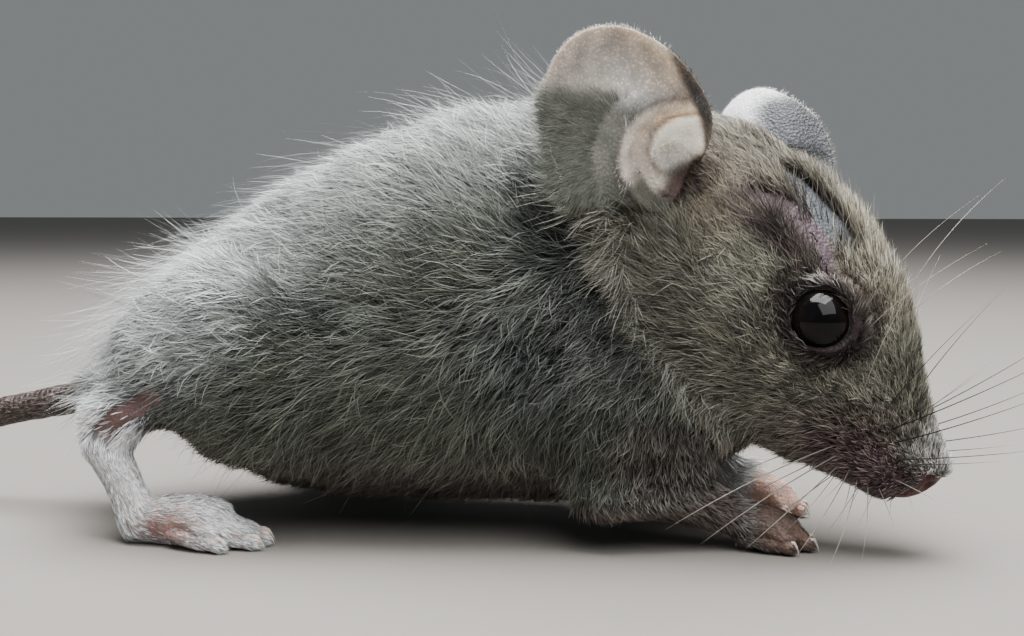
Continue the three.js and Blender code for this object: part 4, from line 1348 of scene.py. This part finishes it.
def guard_hairs(skin, name, rng):
    """Long fine hairs that stand out of the coat."""
    covered, count, longer, rising, wider, pale_share, paler = GUARDS[name]
    region = read_attribute(skin, "region", 1).round().astype(int)
    names = list(REGIONS)
    chance = np.isin(region, [names.index(r) for r in covered]) * read_attribute(skin, "crowd", 1)
    points = vertex_array(skin) / MM
    if covered == ALL_BODY:
        chance *= (0.35 + 1.4 * ease(points[:, 0], 12.0, -2.0)) * ease(points[:, 2], 4.0, 8.0)
    else:
        chance *= 0.1 + ease(read_attribute(skin, "stand", 1), 1.1, 1.8)
    roots = Roots(skin, chance, count, rng)
    length = roots.length * rng.uniform(*longer, count)
    rise = length * rng.uniform(*rising, count) * roots.stand + roots.depth * 0.7
    angle = rng.normal(0, 0.16, count)
    curl = rng.normal(0, 0.16, count)
    path = hair_paths(roots, length, rise, angle, curl, GUARD_HAIR)
    path[:, :, 2] = np.maximum(path[:, :, 2], 0.02)
    pale = rng.random(count) < pale_share
    tone = np.where(pale, rng.uniform(*paler, count), rng.uniform(0.2, 0.5, count))
    colour = np.clip(roots.colour * tone[:, None], 0.004, 0.8)
    half = roots.width * rng.uniform(*wider, count)
    return hair_mesh(name, path, half, roots.normal, roots, colour, GUARD_HAIR)


# ---- Whiskers and claws -----------------------------------------------------------------------------
def tapered_rods(name, lines, sides=5):
    """Round rods that thin to a point, each along its own line of points, as one mesh."""
    whole = bmesh.new()
    tone = whole.verts.layers.float.new("along")
    for line, thickness in lines:
        rings = []
        for index, point in enumerate(line):
            ahead = (line[min(index + 1, len(line) - 1)] - line[max(index - 1, 0)]).normalized()
            share = index / (len(line) - 1)
            made = bmesh.ops.create_circle(
                whole, segments=sides, radius=thickness * max(1 - share**1.5, 0.06),
                matrix=Matrix.Translation(point) @ ahead.to_track_quat("Z", "Y").to_matrix().to_4x4())
            for vert in made["verts"]:
                vert[tone] = share
            rings.append(made["verts"])
        for ring, following in zip(rings, rings[1:]):
            for i in range(sides):
                j = (i + 1) % sides
                whole.faces.new((ring[i], ring[j], following[j], following[i]))
        whole.faces.new(reversed(rings[0]))
        whole.faces.new(rings[-1])
    bmesh.ops.recalc_face_normals(whole, faces=whole.faces)
    mesh = bpy.data.meshes.new(name)
    whole.to_mesh(mesh)
    return mesh


def curved(start, way, length, sag, steps=12):
    """A line that leaves start along way and bends evenly by sag at its end."""
    line = []
    for step in range(steps + 1):
        share = step / steps
        line.append(start + way * (length * share) + sag * share * share)
    return line


def skin_point(tree, matrix, place, outward):
    """The place where a ray from outside meets the skin, given in a frame of the model."""
    origin = matrix @ Vector(place)
    way = (matrix.to_3x3() @ Vector(outward)).normalized()
    hit = tree.ray_cast(origin + way * 12, -way)[0]
    if hit is None:
        raise RuntimeError(f"no skin under {place}")
    return hit


# Whiskers of one side: place on the pad in the head's frame (x, z), direction in the model's frame
# outward from that side, length, droop and half width at the root. The first ones are dark.
DARK_WHISKERS = (
    ((12.2, -1.4), (0.86, 0.28, 0.44), 9.0, (-0.3, 0.2, 0.5), 0.034),
    ((12.6, -1.8), (0.93, 0.25, 0.26), 8.5, (-0.2, 0.2, 0.6), 0.036),
    ((12.9, -2.3), (0.97, 0.22, 0.10), 7.5, (-0.2, 0.2, 0.5), 0.034),
    ((13.6, -2.0), (0.98, 0.18, 0.02), 4.6, (-0.1, 0.1, 0.2), 0.028),
    ((11.8, -1.2), (0.52, 0.20, 0.80), 8.0, (0.9, 0.2, -0.2), 0.028),
    ((11.4, -2.0), (-0.90, 0.14, 0.06), 6.5, (-0.4, -0.2, -0.5), 0.026),
    ((12.1, -2.6), (0.70, 0.26, 0.55), 6.0, (0.2, 0.3, 0.4), 0.026),
)
PALE_WHISKERS = (
    ((11.3, -2.8), (-0.88, 0.15, -0.30), 7.8, (-0.2, -0.2, -1.2), 0.036),
    ((11.6, -3.2), (-0.78, 0.15, -0.42), 7.6, (-0.3, -0.2, -1.0), 0.034),
    ((11.9, -3.6), (-0.62, 0.22, -0.60), 5.6, (-0.6, -0.3, -0.5), 0.030),
    ((12.3, -3.4), (-0.40, 0.30, -0.80), 4.6, (-0.7, -0.3, -0.2), 0.028),
    ((12.8, -3.5), (-0.18, 0.40, -0.90), 4.0, (-0.5, -0.3, 0.0), 0.026),
    ((13.3, -3.4), (0.05, 0.38, -0.92), 3.4, (-0.4, -0.2, 0.0), 0.024),
    ((13.7, -3.2), (0.30, 0.36, -0.86), 2.6, (-0.2, -0.2, 0.0), 0.022),
    ((12.0, -4.1), (-0.48, 0.36, -0.78), 3.6, (-0.5, -0.2, 0.1), 0.022),
    ((12.7, -4.2), (-0.20, 0.34, -0.90), 2.8, (-0.3, -0.2, 0.1), 0.020),
    ((14.0, -2.5), (0.86, 0.30, -0.30), 3.0, (-0.1, 0.1, -0.2), 0.022),
    ((11.0, -1.6), (0.20, 0.26, 0.85), 7.0, (1.1, 0.2, 0.2), 0.024),
)
BROW_WHISKERS = (((8.4, 2.9), (0.42, 0.30, 0.86), 7.5, (1.6, 0.3, -0.6), 0.022),
                 ((9.0, 2.5), (0.62, 0.25, 0.74), 6.0, (1.2, 0.3, -0.4), 0.020))


def whisker_lines(tree, rng):
    """The whiskers of both pads, dark above and pale below, and the pairs over the eyes."""
    found = {"dark": [], "pale": []}
    for side in SIDES.values():
        for kind, table in (("dark", DARK_WHISKERS), ("pale", PALE_WHISKERS), ("pale", BROW_WHISKERS)):
            for (x, z), way, length, droop, thickness in table:
                if table is BROW_WHISKERS:
                    root = skin_point(tree, HEAD_FRAME, (x, side * 2.6, 0), (0, side * 0.35, 1))
                else:
                    root = skin_point(tree, HEAD_FRAME, (x, 0, z), (0.1, side, -0.05))
                way = Vector((way[0], side * way[1], way[2])).normalized()
                way += Vector(rng.normal(0, 0.04, 3))
                droop = Vector((droop[0], side * droop[1], droop[2]))
                length *= rng.uniform(0.92, 1.08)
                found[kind].append((curved(root, way, length, droop), thickness))
    return found["dark"], found["pale"]


def claw_lines():
    """One line for each claw: out of the toe's tip and down to the floor in a hook."""
    found = []
    for side in SIDES:
        for foot in ("hindfoot", "forepaw"):
            claw_length, claw_radius = CLAWS[foot]
            for root, ahead, length, radius in toe_lines(side, foot):
                start = root + ahead * (length - 0.22)
                start.z = radius * 1.15
                line = []
                for step in range(7):
                    share = step / 6
                    point = start + ahead * claw_length * share
                    point.z = start.z * (1 - share**2) + 0.06 + 0.1 * math.sin(math.pi * share)
                    line.append(point)
                found.append((line, claw_radius))
    return found


# ---- Settings that a user would change --------------------------------------------------------------
class MouseCoatSettings(bpy.types.PropertyGroup):
    hair_share: bpy.props.FloatProperty(
        name="Hair count", description="Share of the full number of hairs", default=1.0, min=0.05, max=1.0,
        subtype="FACTOR")
    hair_gloss: bpy.props.FloatProperty(
        name="Hair roughness", description="Roughness of the hair's surface", default=0.42, min=0.1,
        max=1.0, subtype="FACTOR")


class MouseStageSettings(bpy.types.PropertyGroup):
    floor_size: bpy.props.FloatProperty(
        name="Floor size", description="Side of the square floor", default=3.0, unit="LENGTH")
    floor_colour: bpy.props.FloatVectorProperty(
        name="Floor colour", description="Colour of the pale studio floor", size=3, min=0, max=1,
        default=linear("#75716c"), subtype="COLOR")
    sky_strength: bpy.props.FloatProperty(
        name="Soft light", description="Strength of the even studio light", default=0.36, min=0)


# ---- Operators --------------------------------------------------------------------------------------
class MOUSE_OT_skin(bpy.types.Operator):
    """Make the one skin that covers body, ears, legs and tail"""

    bl_idname = "mouse.skin"
    bl_label = "Skin"

    def execute(self, context):
        piece = show("skin", skin_mesh(), "ear_skin", *flesh_nodes())
        piece.data.materials.clear()
        piece.data.materials.append(mouse_skin())
        piece.data.shade_smooth()
        return {"FINISHED"}


class MOUSE_OT_eyes(bpy.types.Operator):
    """Make the two eyeballs with their bulging corneas"""

    bl_idname = "mouse.eyes"
    bl_label = "Eyes"

    def execute(self, context):
        material = eye_wet()
        for side in SIDES:
            ball = bmesh.new()
            bmesh.ops.create_uvsphere(ball, u_segments=64, v_segments=40, radius=EYE_RADIUS)
            for vert in ball.verts:
                if vert.co.z > 0:
                    vert.co.z *= 1 + 0.05 * float(ease(vert.co.z, 0.4, 1.5))
            bmesh.ops.transform(ball, matrix=eye_frame(side), verts=ball.verts)
            mesh = bpy.data.meshes.new(f"eyeball_{side}")
            ball.to_mesh(mesh)
            piece = show(f"eyeball_{side}", mesh, "eye", f"eye_{side}")
            piece.data.materials.append(material)
            piece.data.shade_smooth()
        return {"FINISHED"}


class MOUSE_OT_coat(bpy.types.Operator):
    """Grow the coat on the skin, layer by layer"""

    bl_idname = "mouse.coat"
    bl_label = "Coat"

    def execute(self, context):
        settings = context.scene.mouse_coat
        skin = bpy.data.objects["skin"].data
        material = mouse_hair("mouse_hair", settings.hair_gloss)
        share = settings.hair_share * 1.0
        for number, name in enumerate(LAYERS):
            rng = np.random.default_rng(SEED + number)
            slot = "face_coat" if "head" in name else "body_coat"
            piece = show(name, coat_layer(skin, name, share, rng), slot)
            piece.data.materials.append(material)
            piece.data.shade_smooth()
        for number, name in enumerate(GUARDS):
            rng = np.random.default_rng(SEED + 50 + number)
            slot = "face_coat" if "brow" in name else "body_coat"
            piece = show(name, guard_hairs(skin, name, rng), slot)
            piece.data.materials.append(material)
            piece.data.shade_smooth()
        return {"FINISHED"}


class MOUSE_OT_whiskers(bpy.types.Operator):
    """Set the dark and pale whiskers in their pads"""

    bl_idname = "mouse.whiskers"
    bl_label = "Whiskers"

    def execute(self, context):
        skin = bpy.data.objects["skin"].data
        points = vertex_array(skin) / MM
        tree = BVHTree.FromPolygons([Vector(p) for p in points], triangle_array(skin).tolist())
        dark, pale = whisker_lines(tree, np.random.default_rng(SEED + 60))
        for name, lines, colour in (("whiskers_dark", dark, "#1b1815"), ("whiskers_pale", pale, "#b9b2a6")):
            mesh = tapered_rods(name, lines)
            paint = np.repeat([linear(colour)], len(mesh.vertices), axis=0)
            write_attribute(mesh, "marking", paint, "FLOAT_COLOR")
            piece = show(name, mesh, "face_coat")
            piece.data.materials.append(mouse_hair(f"{name}_keratin", 0.3))
            piece.data.shade_smooth()
        return {"FINISHED"}


class MOUSE_OT_claws(bpy.types.Operator):
    """Set a hooked claw in the tip of every toe"""

    bl_idname = "mouse.claws"
    bl_label = "Claws"

    def execute(self, context):
        piece = show("claws", tapered_rods("claws", claw_lines(), sides=8), "foot_skin")
        piece.data.materials.append(claw_horn())
        piece.data.shade_smooth()
        return {"FINISHED"}


class MOUSE_OT_stage(bpy.types.Operator):
    """Lay the pale floor, and set the soft lights and the camera"""

    bl_idname = "mouse.stage"
    bl_label = "Stage"

    def execute(self, context):
        settings = context.scene.mouse_stage
        ground = bmesh.new()
        bmesh.ops.create_grid(ground, x_segments=1, y_segments=1, size=settings.floor_size / 2)
        mesh = bpy.data.meshes.new("floor")
        ground.to_mesh(mesh)
        floor = bpy.data.objects.new("floor", mesh)
        context.scene.collection.objects.link(floor)
        material, tree, output = new_material("studio_paper")
        place = add_node(tree, "ShaderNodeTexCoord").outputs["Object"]
        fibre = add_node(tree, "ShaderNodeTexNoise", {"Vector": place, "Scale": 900.0, "Detail": 4.0})
        relief = add_node(tree, "ShaderNodeBump",
                          {"Height": fibre.outputs["Fac"], "Distance": 0.00003, "Strength": 0.4})
        shader = add_node(tree, "ShaderNodeBsdfPrincipled",
                          {"Base Color": (*settings.floor_colour, 1), "Roughness": 0.85,
                           "Normal": relief.outputs["Normal"]})
        tree.links.new(shader.outputs[0], output.inputs[0])
        floor.data.materials.append(material)
        self.light(context, settings)
        self.camera(context)
        return {"FINISHED"}

    def light(self, context, settings):
        """An even pale surround, a broad soft light overhead and behind, and a weak one in front."""
        world = bpy.data.worlds.new("studio")
        context.scene.world = world
        world.use_nodes = True
        world.node_tree.nodes["Background"].inputs[0].default_value = (*linear("#c9ced0"), 1)
        world.node_tree.nodes["Background"].inputs[1].default_value = settings.sky_strength
        for name, place, size, power in (
            ("overhead", (0.02, 0.03, 0.28), 0.26, 4.2),
            ("front", (0.10, -0.16, 0.22), 0.24, 1.0),
        ):
            lamp = bpy.data.lights.new(name, "AREA")
            lamp.size = size
            lamp.energy = power
            holder = bpy.data.objects.new(name, lamp)
            context.scene.collection.objects.link(holder)
            holder.location = place
            holder.rotation_euler = (Vector((0.005, 0, 0.01)) - holder.location).to_track_quat(
                "-Z", "Y").to_euler()

    def camera(self, context):
        """Low and close at the animal's right, turned a little towards its face."""
        turn, dip = math.radians(10), math.atan(116 / 1600)
        view = Vector((-math.sin(turn) * math.cos(dip), math.cos(turn) * math.cos(dip), -math.sin(dip)))
        lens = bpy.data.cameras.new("camera")
        lens.sensor_width = 36
        lens.lens = 36 * 1600 / 1024
        lens.clip_start = 0.001
        holder = bpy.data.objects.new("camera", lens)
        context.scene.collection.objects.link(holder)
        holder.location = (Vector((13.892, -78.785, 16.1)) + MODEL_SHIFT) * MM
        holder.rotation_euler = view.to_track_quat("-Z", "Y").to_euler()
        context.scene.camera = holder


class MOUSE_PT_panel(bpy.types.Panel):
    bl_idname = "MOUSE_PT_panel"
    bl_label = "House Mouse"
    bl_space_type = "VIEW_3D"
    bl_region_type = "UI"
    bl_category = "House Mouse"

    def draw(self, context):
        for settings in (context.scene.mouse_coat, context.scene.mouse_stage):
            for name in settings.__annotations__:
                self.layout.prop(settings, name)
        for operator in OPERATORS:
            self.layout.operator(operator.bl_idname)


OPERATORS = (MOUSE_OT_skin, MOUSE_OT_eyes, MOUSE_OT_coat, MOUSE_OT_whiskers, MOUSE_OT_claws, MOUSE_OT_stage)
CLASSES = (MouseCoatSettings, MouseStageSettings, *OPERATORS, MOUSE_PT_panel)


def register():
    for cls in CLASSES:
        bpy.utils.register_class(cls)
    bpy.types.Scene.mouse_coat = bpy.props.PointerProperty(type=MouseCoatSettings)
    bpy.types.Scene.mouse_stage = bpy.props.PointerProperty(type=MouseStageSettings)


def unregister():
    del bpy.types.Scene.mouse_stage
    del bpy.types.Scene.mouse_coat
    for cls in reversed(CLASSES):
        bpy.utils.unregister_class(cls)


def main():
    """Makes every piece and the stage."""
    register()
    bpy.ops.mouse.skin()
    bpy.ops.mouse.eyes()
    bpy.ops.mouse.coat()
    bpy.ops.mouse.whiskers()
    bpy.ops.mouse.claws()
    bpy.ops.mouse.stage()


if __name__ == "__main__":
    main()
